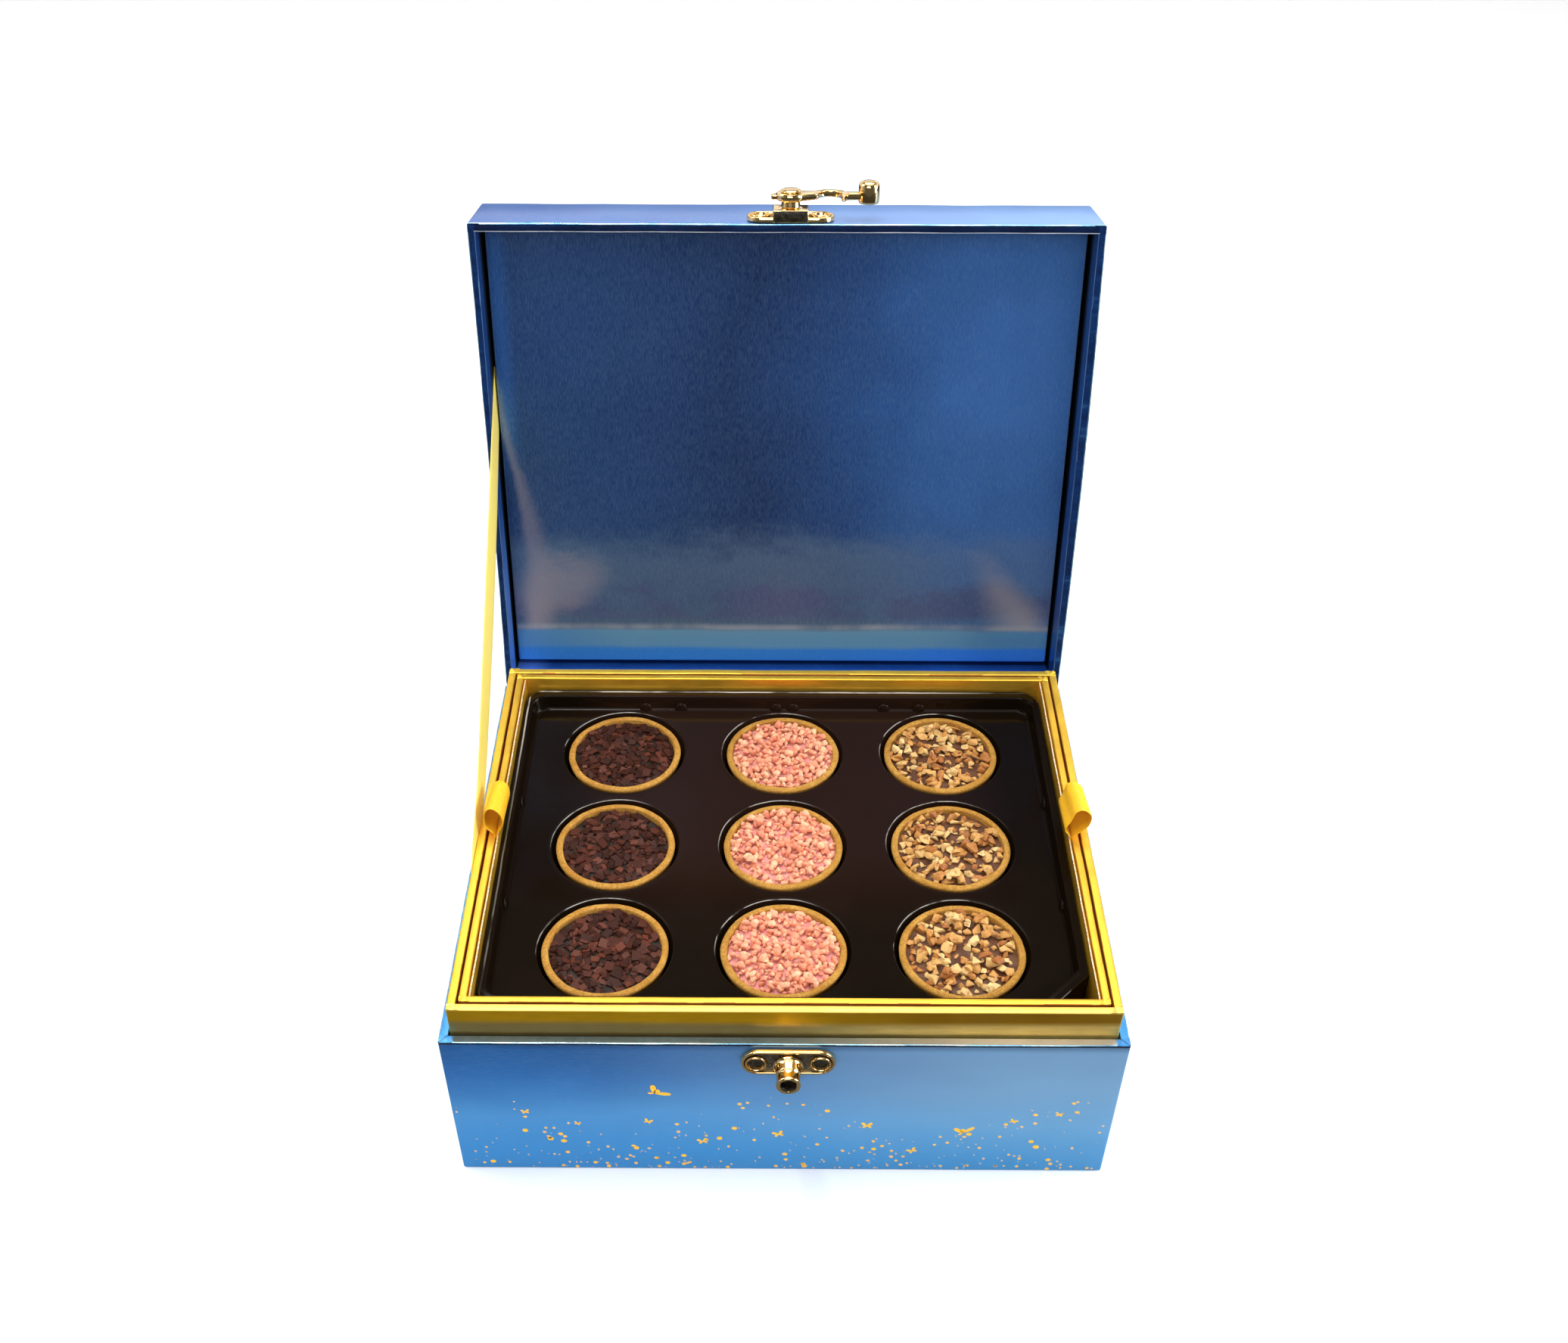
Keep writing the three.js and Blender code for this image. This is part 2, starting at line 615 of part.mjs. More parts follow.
// The swinging hook, pointing along +X from its pivot, with its bite open downwards
function latchHook() {
  const bite = STUD_TO_PIVOT;
  const outer = HOOK_BITE + HOOK_ARM;
  const top = HOOK_LOW + HOOK_THICKNESS;
  const arm = new THREE.Shape();
  arm.absarc(0, 0, 5.4, 0.9, -0.9, false);
  arm.lineTo(bite - HOOK_BITE - 2, -1.6);
  arm.lineTo(bite - HOOK_BITE, -1.2);
  arm.absarc(bite, 0, HOOK_BITE, Math.PI, 0, true);
  arm.lineTo(bite + HOOK_BITE, -3);
  arm.lineTo(bite + HOOK_BITE + 0.8, -3.8);
  arm.lineTo(bite + HOOK_BITE + 2.4, -2.2);
  arm.lineTo(KNOB_DISTANCE, -2);
  arm.lineTo(KNOB_DISTANCE, 2);
  arm.lineTo(bite + outer * Math.cos(0.45), outer * Math.sin(0.45));
  arm.absarc(bite, 0, outer, 0.45, 2.3, false);
  const plate = solid(prism(arm, HOOK_LOW, top, 7));
  const boss = solid(turned([[0, HOOK_LOW], [5.4, HOOK_LOW], [5.4, top - 0.4], [4.6, top], [0, top]], 16));
  const bore = solid(turned([[0, HOOK_LOW - 1], [2.8, HOOK_LOW - 1], [2.8, top + 1], [0, top + 1]], 12));
  const knobProfile = [
    [0, KNOB_LOW],
    [KNOB_RADIUS - 0.5, KNOB_LOW],
    [KNOB_RADIUS, KNOB_LOW + 0.5],
    [KNOB_RADIUS, KNOB_HIGH - 1.8],
    [KNOB_RADIUS - 0.6, KNOB_HIGH - 0.6],
    [KNOB_RADIUS - 1.8, KNOB_HIGH],
    [0, KNOB_HIGH],
  ];
  const knob = solid(turned(knobProfile, 14).translate(KNOB_DISTANCE, 0, 0));
  const shape = joined([plate, boss, knob]).subtract(bore);
  return named("latch_hook", geometryOf(shape), POLISHED_GOLD);
}

// A group on a front wall: its XY plane is the wall and its Z points to the front
function onFrontWall(x, y, z, members) {
  const group = new THREE.Group();
  group.position.set(x, y, z);
  group.rotation.x = Math.PI / 2;
  group.add(...members);
  return group;
}

const box = new THREE.Group();
box.add(baseBox(), neck(), trayBox());
box.add(liner(-1, "liner_left"), liner(1, "liner_right"));
box.add(insert());
tartPlaces().forEach((place, i) => {
  const seed = 101 + 13 * i;
  box.add(tartShell(place, seed), tartFilling(place, seed));
});
box.add(pullLoop(-1, "pull_loop_left", 13, 8.5, 0.6));
box.add(pullLoop(1, "pull_loop_right", 14, 10, 1.2));
box.add(ribbonStay());
box.add(
  onFrontWall(LATCH_X, FRONT_Y, BASE_HEIGHT - PLATE_BELOW_BASE_RIM, [
    latchPlate("latch_plate_base"),
    rivet("rivet_base_left", -1),
    rivet("rivet_base_right", 1),
    latchStud(),
  ]),
);

const lid = new THREE.Group();
lid.position.set(0, BOX_DEPTH / 2, BASE_HEIGHT);
lid.rotation.x = -THREE.MathUtils.degToRad(LID_OPEN_DEGREES);
lid.add(lidShell(), lidPanel());
lid.add(
  onFrontWall(LATCH_X, -LID_DEPTH, LID_RIM_GAP + PLATE_FROM_LID_RIM, [
    latchPlate("latch_plate_lid"),
    rivet("rivet_lid_left", -1),
    rivet("rivet_lid_right", 1),
    latchPost(),
    latchHook(),
  ]),
);
box.add(lid);

export default box;
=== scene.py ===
"""The looks of the open gift box of filled tartlets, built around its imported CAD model.

Sizes are in millimetres until a mesh is made; the row frame has X right, Y back and Z up.
"""

import math
import random

import bmesh
import bpy
import numpy as np
from mathutils import Matrix, Vector, noise
from mathutils.geometry import tessellate_polygon

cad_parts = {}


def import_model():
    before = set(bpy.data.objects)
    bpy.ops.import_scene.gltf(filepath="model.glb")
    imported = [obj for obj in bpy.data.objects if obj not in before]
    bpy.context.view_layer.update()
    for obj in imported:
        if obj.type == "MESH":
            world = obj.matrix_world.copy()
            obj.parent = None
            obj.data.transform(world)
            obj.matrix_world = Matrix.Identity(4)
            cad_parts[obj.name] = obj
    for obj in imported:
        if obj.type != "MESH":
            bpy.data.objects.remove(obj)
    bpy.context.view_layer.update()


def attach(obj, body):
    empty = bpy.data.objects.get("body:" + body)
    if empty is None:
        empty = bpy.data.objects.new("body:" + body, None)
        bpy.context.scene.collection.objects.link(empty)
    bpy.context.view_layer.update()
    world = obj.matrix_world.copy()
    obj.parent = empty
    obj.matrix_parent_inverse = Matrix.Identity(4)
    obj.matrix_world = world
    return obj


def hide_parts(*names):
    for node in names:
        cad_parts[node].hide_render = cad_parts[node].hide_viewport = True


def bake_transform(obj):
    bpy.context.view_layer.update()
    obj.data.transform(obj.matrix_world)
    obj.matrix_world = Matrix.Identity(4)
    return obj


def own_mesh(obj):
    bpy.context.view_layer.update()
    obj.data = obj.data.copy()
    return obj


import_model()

MM = 0.001
QUARTER = math.pi / 2

# The main sizes, as in the CAD source
BOX_HALF_X = 120.0
BOX_HALF_Y = 97.2
BASE_HEIGHT = 75.2
BASE_WALL = 3.2
NECK_TOP = 87.9
NECK_HALF_X = 116.3
NECK_HALF_Y = 93.1
NECK_WALL = 3.1
TRAY_HALF_X = 112.5
TRAY_HALF_Y = 89.3
TRAY_WALL = 2.7
WALLS_FOOT = 3.5
TRAY_FLOOR_TOP = 55.9
LINER_X = 108.7
LINER_THICKNESS = 0.6
INSERT_HALF_X = 108.2
INSERT_HALF_Y = 86.1
INSERT_TOP = 82.3
PANEL_Z = 76.0
INSERT_FOOT = 56.2
POCKET_RADIUS = 24.8
TART_BASE = 57.3
TART_RADIUS = 23.2
TART_FOOT_RADIUS = 18.3
TART_HEIGHT = 18.5
CREAM_RADIUS = 20.75
COLUMN_PITCH = 65.2
ROW_PITCH = 53.9
ROWS_SHIFT = -0.5
LID_OPEN = math.radians(102)
LID_HALF_X = 119.6
LID_DEPTH = 194.2
LID_HEIGHT = 36.0
LID_WALL = 2.8
LID_RIM_GAP = 0.3
PANEL_INSET = 15.0
LATCH_X = 1.5
STUD_DROP = 8.2
PIVOT_RISE = 6.5
# The width of the painted highlight along the rims' outer edges
EDGE_HIGHLIGHT_WIDTH = 0.46

COLUMNS = [("left", -COLUMN_PITCH), ("centre", 0.0), ("right", COLUMN_PITCH)]
ROWS = [("back", ROWS_SHIFT + ROW_PITCH), ("middle", ROWS_SHIFT), ("front", ROWS_SHIFT - ROW_PITCH)]


# Mesh helpers; a part is a pair of vertices and faces


def add_piece(name, part, materials, body, face_mats=None, smooth=40, tint=None):
    """One mesh object in metres that rides on a body, with edges sharper than `smooth` degrees kept."""
    verts, faces = part
    mesh = bpy.data.meshes.new(name)
    mesh.from_pydata([(x * MM, y * MM, z * MM) for x, y, z in verts], [], faces)
    mesh.validate()
    for material in materials:
        mesh.materials.append(material)
    if face_mats is not None:
        mesh.polygons.foreach_set("material_index", face_mats)
    if tint is not None:
        layer = mesh.attributes.new("tint", "FLOAT", "POINT")
        layer.data.foreach_set("value", tint)
    work = bmesh.new()
    work.from_mesh(mesh)
    bmesh.ops.recalc_face_normals(work, faces=work.faces)
    work.to_mesh(mesh)
    work.free()
    mesh.polygons.foreach_set("use_smooth", [True] * len(mesh.polygons))
    mesh.set_sharp_from_angle(angle=math.radians(smooth))
    obj = bpy.data.objects.new(name, mesh)
    bpy.context.scene.collection.objects.link(obj)
    if body:
        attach(obj, body)
    return obj


def stand_for(obj, slot, *nodes):
    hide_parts(*nodes)


def pick_faces(part, choose):
    """A material number for each face, from its centre in the part's own frame."""
    verts, faces = part
    made = []
    for face in faces:
        centre = [sum(verts[i][k] for i in face) / len(face) for k in range(3)]
        made.append(int(choose(*centre)))
    return made


def arc(cx, cy, radius, first, last, steps):
    """Points along an arc from one angle to another."""
    angles = [first + (last - first) * k / steps for k in range(steps + 1)]
    return [(cx + radius * math.cos(a), cy + radius * math.sin(a)) for a in angles]


def circle(radius, segments):
    return arc(0, 0, radius, 0, 2 * math.pi, segments)[:-1]


def straight(start, end, steps):
    """Points along a straight line, with both its ends."""
    return [tuple(a + (b - a) * k / steps for a, b in zip(start, end)) for k in range(steps + 1)]


def fillet(points, radii, steps=4, closed=True):
    """A polyline with its corners rounded by the given radii."""
    made = []
    count = len(points)
    for i, (point, radius) in enumerate(zip(points, radii)):
        if radius <= 0 or (not closed and i in (0, count - 1)):
            made.append(tuple(point))
            continue
        here = Vector(point)
        back = Vector(points[i - 1]) - here
        ahead = Vector(points[(i + 1) % count]) - here
        reach = radius / math.tan(back.angle(ahead) / 2)
        start = here + back.normalized() * reach
        end = here + ahead.normalized() * reach
        for k in range(steps + 1):
            t = k / steps
            made.append(tuple(start.lerp(here, t).lerp(here.lerp(end, t), t)))
    return made


def rounded_rect(half_x, half_y, radius, side=24, corner=5, cut=0.0):
    """Points round a rectangle with round corners; the front right corner may be cut off straight."""
    radius = max(radius, 0.02)
    x, y = half_x - radius, half_y - radius
    centres = [(x, -y, -QUARTER), (x, y, 0), (-x, y, QUARTER), (-x, -y, 2 * QUARTER)]
    corners = [arc(cx, cy, radius, first, first + QUARTER, corner) for cx, cy, first in centres]
    if cut > 0:
        corners[0] = straight((half_x - cut, -half_y), (half_x, -half_y + cut), corner)
    points = []
    for here, after in zip(corners, corners[1:] + corners[:1]):
        points += here + straight(here[-1], after[0], side)[1:-1]
    return points


def sweep(loops, caps=False, close=False):
    """Faces between loops of equal length; each loop is a list of 3-D points."""
    verts = [p for loop in loops for p in loop]
    n = len(loops[0])
    faces = []
    for i in range(len(loops) if close else len(loops) - 1):
        a, b = i * n, (i + 1) % len(loops) * n
        faces += [(a + k, a + (k + 1) % n, b + (k + 1) % n, b + k) for k in range(n)]
    if caps:
        faces.append(tuple(range(n))[::-1])
        faces.append(tuple(range(len(verts) - n, len(verts))))
    return verts, faces


def rect_sweep(half_x, half_y, radius, profile, wobble=0.0, seed=0.0, caps=False, close=False, **how):
    """A profile of (inset, height) points swept round a rectangle, a little uneven."""
    loops = []
    for inset, height in profile:
        loop = []
        for x, y in rounded_rect(half_x - inset, half_y - inset, radius - inset, **how):
            swell = wobble * noise.noise(Vector((x * 0.05 + seed, y * 0.05, height * 0.08)))
            length = math.hypot(x / half_x, y / half_y)
            grow_x, grow_y = 1 + swell / half_x / length, 1 + swell / half_y / length
            loop.append((x * grow_x, y * grow_y, height + swell * 0.6))
        loops.append(loop)
    return sweep(loops, caps, close)


def lathe(profile, segments=48):
    """A turned piece about Z from (radius, height) points; ends on the axis are closed."""
    verts, faces, rings = [], [], []
    for radius, height in profile:
        ring = circle(radius, segments) if radius > 0 else [(0, 0)]
        rings.append(range(len(verts), len(verts) + len(ring)))
        verts += [(x, y, height) for x, y in ring]
    for a, b in zip(rings, rings[1:]):
        for k in range(segments):
            m = (k + 1) % segments
            if len(a) == 1:
                faces.append((a[0], b[k], b[m]))
            elif len(b) == 1:
                faces.append((a[k], a[m], b[0]))
            else:
                faces.append((a[k], a[m], b[m], b[k]))
    return verts, faces


def extrude(outline, low, high, bevel=0.0, steps=2):
    """An outline pulled up, both its edges rounded by shrinking the ends towards its inside."""
    count = len(outline)
    inward = []
    for i in range(count):
        before, here, after = (Vector(outline[j % count]) for j in (i - 1, i, i + 1))
        a = (here - before).normalized()
        b = (after - here).normalized()
        normal = Vector((-(a.y + b.y), a.x + b.x))
        if normal.length < 1e-6:
            normal = Vector((-a.y, a.x))
        normal.normalize()
        inward.append(normal / max(0.5, normal.dot(Vector((-a.y, a.x)))))
    turns = [QUARTER * k / steps for k in range(steps + 1)]
    stages = [(bevel * (1 - math.sin(a)), low + bevel * (1 - math.cos(a))) for a in turns]
    stages += [(bevel * (1 - math.cos(a)), high - bevel * (1 - math.sin(a))) for a in turns]
    loops = []
    for inset, height in stages:
        loops.append([(x + n.x * inset, y + n.y * inset, height) for (x, y), n in zip(outline, inward)])
    return sweep(loops, caps=True)


def joined(parts):
    verts, faces = [], []
    for more, fs in parts:
        start = len(verts)
        verts.extend(more)
        faces.extend(tuple(i + start for i in f) for f in fs)
    return verts, faces


def placed(part, matrix):
    verts, faces = part
    return [tuple(matrix @ Vector(v)) for v in verts], faces


def shift(x, y, z):
    return Matrix.Translation((x, y, z))


def turn_x(angle):
    return Matrix.Rotation(angle, 4, "X")


# The lid is made shut in its hinge's frame and turned open by this matrix
HINGE = shift(0, BOX_HALF_Y, BASE_HEIGHT) @ turn_x(-LID_OPEN)
# The frames of the latch on the front walls: X right, Y up and Z to the front
BASE_LATCH = shift(LATCH_X, -BOX_HALF_Y, BASE_HEIGHT - STUD_DROP) @ turn_x(QUARTER)
LID_LATCH = HINGE @ shift(LATCH_X, -LID_DEPTH, PIVOT_RISE) @ turn_x(QUARTER)


# Material helpers


class Value:
    """A number inside a material; + - * / and abs() make the nodes that work it out."""

    def __init__(self, nodes, socket):
        self.nodes = nodes
        self.socket = socket

    def __add__(self, other):
        return self.nodes.math("ADD", self, other)

    def __sub__(self, other):
        return self.nodes.math("SUBTRACT", self, other)

    def __mul__(self, other):
        return self.nodes.math("MULTIPLY", self, other)

    def __truediv__(self, other):
        return self.nodes.math("DIVIDE", self, other)

    def __abs__(self):
        return self.nodes.math("ABSOLUTE", self)


class Nodes:
    """A short way to write a material's nodes; x, y and z are a point's place in millimetres."""

    def __init__(self, name):
        self.material = bpy.data.materials.new(name)
        self.material.use_nodes = True
        self.tree = self.material.node_tree
        self.shader = self.tree.nodes["Principled BSDF"]
        self.coordinates = self.node("TexCoord").outputs["Object"]
        axes = self.node("SeparateXYZ", self.coordinates).outputs
        self.x, self.y, self.z = (Value(self, axis) / MM for axis in axes)

    def node(self, kind, *inputs, **named):
        """A new node, with its inputs given in their order or by name."""
        made = self.tree.nodes.new("ShaderNode" + kind)
        for socket, value in zip(made.inputs, inputs):
            self.put(socket, value)
        for name, value in named.items():
            self.put(made.inputs[name], value)
        return made

    def put(self, socket, value):
        if isinstance(value, Value):
            value = value.socket
        if isinstance(value, bpy.types.NodeSocket):
            self.tree.links.new(value, socket)
        elif isinstance(value, tuple) and socket.type == "RGBA":
            socket.default_value = (*value, 1)
        else:
            socket.default_value = value

    def set(self, **values):
        for key, value in values.items():
            self.put(self.shader.inputs[key.replace("_", " ")], value)

    def glow_inside(self, weight, radius, scale):
        """Light that goes a little way into the material."""
        self.set(Subsurface_Weight=weight, Subsurface_Radius=radius, Subsurface_Scale=scale)

    def math(self, operation, *numbers, clamp=False):
        node = self.node("Math", *numbers)
        node.operation = operation
        node.use_clamp = clamp
        return Value(self, node.outputs[0])

    def clamped(self, value):
        return self.math("ADD", value, 0.0, clamp=True)

    def largest(self, a, b):
        return self.math("MAXIMUM", a, b)

    def noise(self, scale, detail=3.0, roughness=0.55, stretch=None):
        place = self.coordinates
        if stretch:
            place = self.node("Mapping", Vector=place, Scale=stretch).outputs[0]
        node = self.node("TexNoise", Vector=place, Scale=scale, Detail=detail, Roughness=roughness)
        return Value(self, node.outputs["Fac"])

    def drift(self, amount, *noise, **how):
        """Noise about zero, half the amount to either side at most."""
        return (self.noise(*noise, **how) - 0.5) * amount

    def tint(self):
        """The number from 0 to 1 that each loose piece or printed mark has of its own."""
        node = self.node("Attribute")
        node.attribute_name = "tint"
        return Value(self, node.outputs["Fac"])

    def mix(self, share, a, b):
        node = self.node("Mix")
        node.data_type = "RGBA"
        for index, value in ((0, share), (6, a), (7, b)):
            self.put(node.inputs[index], value)
        return Value(self, node.outputs[2])

    def ramp(self, value, *stops):
        """A colour read off stops of (place, colour)."""
        node = self.node("ValToRGB", value)
        elements = node.color_ramp.elements
        while len(elements) < len(stops):
            elements.new(0.5)
        for element, (place, colour) in zip(elements, stops):
            element.position = place
            element.color = (*colour, 1)
        return Value(self, node.outputs[0])

    def table(self, value, low, high, *rows):
        """Three numbers read off rows of (place, first, second, third) between two places."""
        share = self.math("DIVIDE", value - low, high - low, clamp=True)
        stops = [((place - low) / (high - low), numbers) for place, *numbers in rows]
        node = self.node("SeparateXYZ", self.ramp(share, *stops))
        return [Value(self, socket) for socket in node.outputs]

    def between(self, value, low, high, out_low=0.0, out_high=1.0):
        """A soft step from one number to another as the value goes from low to high."""
        node = self.node("MapRange", value, low, high, out_low, out_high)
        node.interpolation_type = "SMOOTHSTEP"
        return Value(self, node.outputs[0])

    def relief(self, *layers):
        """A normal from layers of (height, depth in metres, strength), one over another."""
        normal = None
        for height, depth, strength in layers:
            node = self.node("Bump", Height=height, Distance=depth, Strength=strength)
            if normal:
                self.put(node.inputs["Normal"], normal)
            normal = node.outputs[0]
        return normal


def srgb(red, green, blue):
    """A colour as read off a screen, 0 to 255, as the linear one that shaders use."""
    made = []
    for value in (red, green, blue):
        c = value / 255
        made.append(c / 12.92 if c <= 0.04045 else ((c + 0.055) / 1.055) ** 2.4)
    return tuple(made)


# The blue foil; its colour functions take a material's nodes


def pearl_foil(
    name, colour_of, roughness, grain, metallic=0.5, coat=0.25, stretch=(0.25, 0.25, 1.5), fleck=0.10
):
    """Blue pearl film on paper: a tinted metallic body under a strong clear gloss."""
    n = Nodes(name)
    fibres = n.noise(1500, 3, 0.6, stretch)
    wave = n.noise(130, 2, 0.5, stretch)
    peel = n.noise(700, 2, 0.5)
    normal = n.relief(
        (wave, 0.0003, 0.10 * grain),
        (peel, 0.00006, 0.30 * grain),
        (fibres, 0.00005, 0.40 * grain),
    )
    colour = n.mix(n.between(fibres, 0.3, 0.75, 0, fleck), colour_of(n), (0.30, 0.48, 0.72))
    n.set(Base_Color=colour, Metallic=metallic, Normal=normal)
    n.set(Roughness=n.between(n.noise(30, 3), 0.3, 0.7, roughness - 0.02, roughness + 0.05))
    n.set(Coat_Weight=coat, Coat_Roughness=0.14, Coat_IOR=1.5, Specular_IOR_Level=0.3)
    return n.material


def streaked(scale, stretch, *stops):
    """A colour function for foil that varies in fine streaks."""
    return lambda n: n.ramp(n.noise(scale, 3, 0.6, stretch), *stops)


def base_colour(n):
    """Deeper towards the top left, brighter towards the foot, paler to the right, with painted shade under
    the rim.
    """
    up = n.between(n.z, 0.0, 75.0)
    mottled = n.clamped(up + n.drift(0.45, 22, 3, stretch=(0.5, 0.5, 1)))
    left = n.ramp(
        mottled,
        (0.0, (0.070, 0.42, 1.0)),
        (0.45, (0.105, 0.44, 0.98)),
        (0.8, (0.030, 0.205, 0.62)),
        (1.0, (0.016, 0.135, 0.44)),
    )
    right = n.ramp(
        mottled,
        (0.0, (0.10, 0.48, 1.0)),
        (0.35, (0.22, 0.57, 1.0)),
        (0.75, (0.27, 0.54, 0.88)),
        (1.0, (0.24, 0.46, 0.76)),
    )
    colour = n.mix(n.between(n.x, -100, 100), left, right)
    # Painted shade under the rim, weaker at the far left.
    under = n.between(n.z, 70.5, 74.2, 0.0, 0.5) * n.between(n.x, -108, -90, 0.35, 1.0)
    colour = n.mix(under, colour, (0.012, 0.045, 0.16))
    # Painted shade: a near-black line just below the rim's edge.
    return n.mix(n.between(n.z, 74.0, 74.4, 0.0, 0.95), colour, (0.001, 0.003, 0.010))


def lid_colour(n):
    """Deeper to the left and paler to the right."""
    mottled = n.noise(18, 3)
    left = n.ramp(mottled, (0.3, (0.018, 0.110, 0.44)), (0.7, (0.045, 0.175, 0.54)))
    right = n.ramp(mottled, (0.3, (0.15, 0.34, 0.78)), (0.7, (0.22, 0.44, 0.90)))
    return n.mix(n.between(n.x, -120, 120), left, right)


def rim_colour(n):
    """The lid's rim: nearly black, a little bluer along its two sides."""
    streak = n.noise(160, 3, 0.6, (0.25, 1, 1))
    front = (0.3, (0.001, 0.005, 0.034)), (0.6, (0.002, 0.016, 0.080)), (0.75, (0.008, 0.040, 0.16))
    flank = (0.3, (0.001, 0.014, 0.080)), (0.6, (0.005, 0.040, 0.18)), (0.75, (0.030, 0.12, 0.34))
    return n.mix(n.between(abs(n.x), 116.5, 117.2), n.ramp(streak, *front), n.ramp(streak, *flank))


def lid_side_colour(n):
    """Royal blue near the rim, darker higher up, with a painted highlight low on the left and near-black
    painted shade down in the gap beside the panel.
    """
    over_rim = (n.y - BOX_HALF_Y) * math.sin(LID_OPEN) + (n.z - BASE_HEIGHT) * math.cos(LID_OPEN)
    blue = n.ramp(n.noise(24, 2), (0.3, (0.006, 0.050, 0.26)), (0.7, (0.012, 0.095, 0.40)))
    blue = n.mix(n.between(n.z, 120, 240, 0.0, 0.55), blue, (0.006, 0.030, 0.14))
    # Painted highlight: a brighter patch low on the left wall.
    painted_highlight_low_left = n.between(n.z, 165, 110) * n.between(n.x, -100, -110)
    blue = n.mix(painted_highlight_low_left * 0.9, blue, (0.085, 0.235, 0.72))
    # Painted shade: near black down in the gap between the walls and the panel.
    gap_shade_from = n.between(n.z, 90, 220, 11.2, 7.8)
    dark = n.between(over_rim - gap_shade_from, 0.0, 1.2) * n.between(abs(n.x), 115.8, 116.6)
    return n.mix(dark, blue, (0.001, 0.0015, 0.004))


def painted_panel_reflections(n, colour, rough):
    """Painted reflections on the panel: mauve-grey fields, one up its left edge, a lobe beside it, a streak
    at the right.
    """
    x, z = n.x, n.z
    # For each height: the field's middle, its width and its strength
    middle, width, strength = n.table(
        z,
        90,
        210,
        (90.0, 0.072, 0.42, 0.95),
        (97.0, 0.084, 0.42, 0.85),
        (110.0, 0.100, 0.44, 0.55),
        (130.7, 0.096, 0.34, 0.46),
        (146.1, 0.078, 0.24, 0.46),
        (165.3, 0.039, 0.13, 0.42),
        (182.6, 0.014, 0.09, 0.36),
        (205.0, 0.006, 0.05, 0.0),
    )
    # Painted reflection: the mauve-grey field up the left edge.
    offset = x + rough * 0.15 - (middle * 100 - 115.7)
    away = n.largest(offset, offset * -2.0)
    glow = n.between(away / (width * 30), 1.0, 0.0) * strength
    colour = n.mix(glow * 0.80, colour, (0.325, 0.300, 0.375))
    # Painted reflection: a mauve-grey lobe beside it.
    lobe_x = (x - (z - 112) * 0.55 + 95.5) / 27
    lobe_z = (z + rough - 112) / 21
    lobe = n.between(lobe_x * lobe_x + lobe_z * lobe_z, 1.0, 0.0)
    colour = n.mix(lobe * lobe * 0.55, colour, (0.290, 0.275, 0.345))
    # Painted reflection: a mauve-grey streak at the right.
    from_streak = abs(x - 106 + (z - 91) * 0.62)
    streak = n.between(from_streak, n.between(z, 92, 125, 20, 10), 0.0)
    fade = n.between(z + rough, 132, 92, 0.0, 0.55)
    return n.mix(streak * fade, colour, (0.400, 0.390, 0.450))


def panel_colour(n):
    """Navy, bluer to the right, with painted mauve-grey reflections low down and bright blue paper at its
    foot.
    """
    x, z = n.x, n.z
    across = n.clamped(n.between(x, -105, 115) + n.drift(0.5, 14, 3))
    colour = n.ramp(
        across,
        (0.0, (0.014, 0.053, 0.180)),
        (0.35, (0.008, 0.030, 0.118)),
        (0.7, (0.015, 0.066, 0.235)),
        (1.0, (0.042, 0.155, 0.47)),
    )
    left_edge = n.between(x, -106, -114) * n.between(z, 150, 185)
    colour = n.mix(left_edge * 0.7, colour, (0.022, 0.12, 0.42))
    colour = n.mix(n.between(z, 245, 262, 0.0, 0.5), colour, (0.010, 0.026, 0.080))
    rough = n.drift(30, 60, 5, 0.7, stretch=(0.5, 1, 1))
    height = z + rough
    # Painted reflection: a mauve-grey cloud low on the panel.
    painted_cloud_colour = n.mix(n.between(x, 20, 100), (0.076, 0.137, 0.255), (0.068, 0.152, 0.370))
    colour = n.mix(n.between(height, 141, 124, 0.0, 0.85), colour, painted_cloud_colour)
    blob = n.between(n.noise(34, 2, stretch=(1, 1, 1.6)), 0.34, 0.54)
    low = n.between(height, 113, 106) * n.between(z, 94.5, 99)
    colour = n.mix(blob * low * 0.75, colour, (0.066, 0.088, 0.215))
    # Painted reflections: mauve-grey fields up the left edge and a streak at the right.
    colour = painted_panel_reflections(n, colour, rough)
    soft = z + n.drift(2.0, 40, 2)
    line = n.between(abs(soft - 92.6), 2.6, 0.0, 0.0, 0.65)
    patchy = n.between(n.noise(55, 3, stretch=(1, 1, 0.2)), 0.35, 0.65, 0.35, 1.0)
    colour = n.mix(line * patchy, colour, (0.38, 0.42, 0.52))
    teal = n.mix(n.between(abs(x), 60, 112), (0.150, 0.345, 0.560), (0.090, 0.290, 0.600))
    colour = n.mix(n.between(soft, 92.4, 90.5, 0.0, 0.95), colour, teal)
    side = n.between(abs(x), 114.9, 115.3) * n.between(z, 90, 100)
    colour = n.mix(side * 0.6, colour, (0.11, 0.20, 0.42))
    foot = n.mix(n.between(x, 0.0, 100), (0.034, 0.245, 0.690), (0.030, 0.240, 0.900))
    return n.mix(n.between(soft, 84.5, 81.8, 0.0, 0.95), colour, foot)


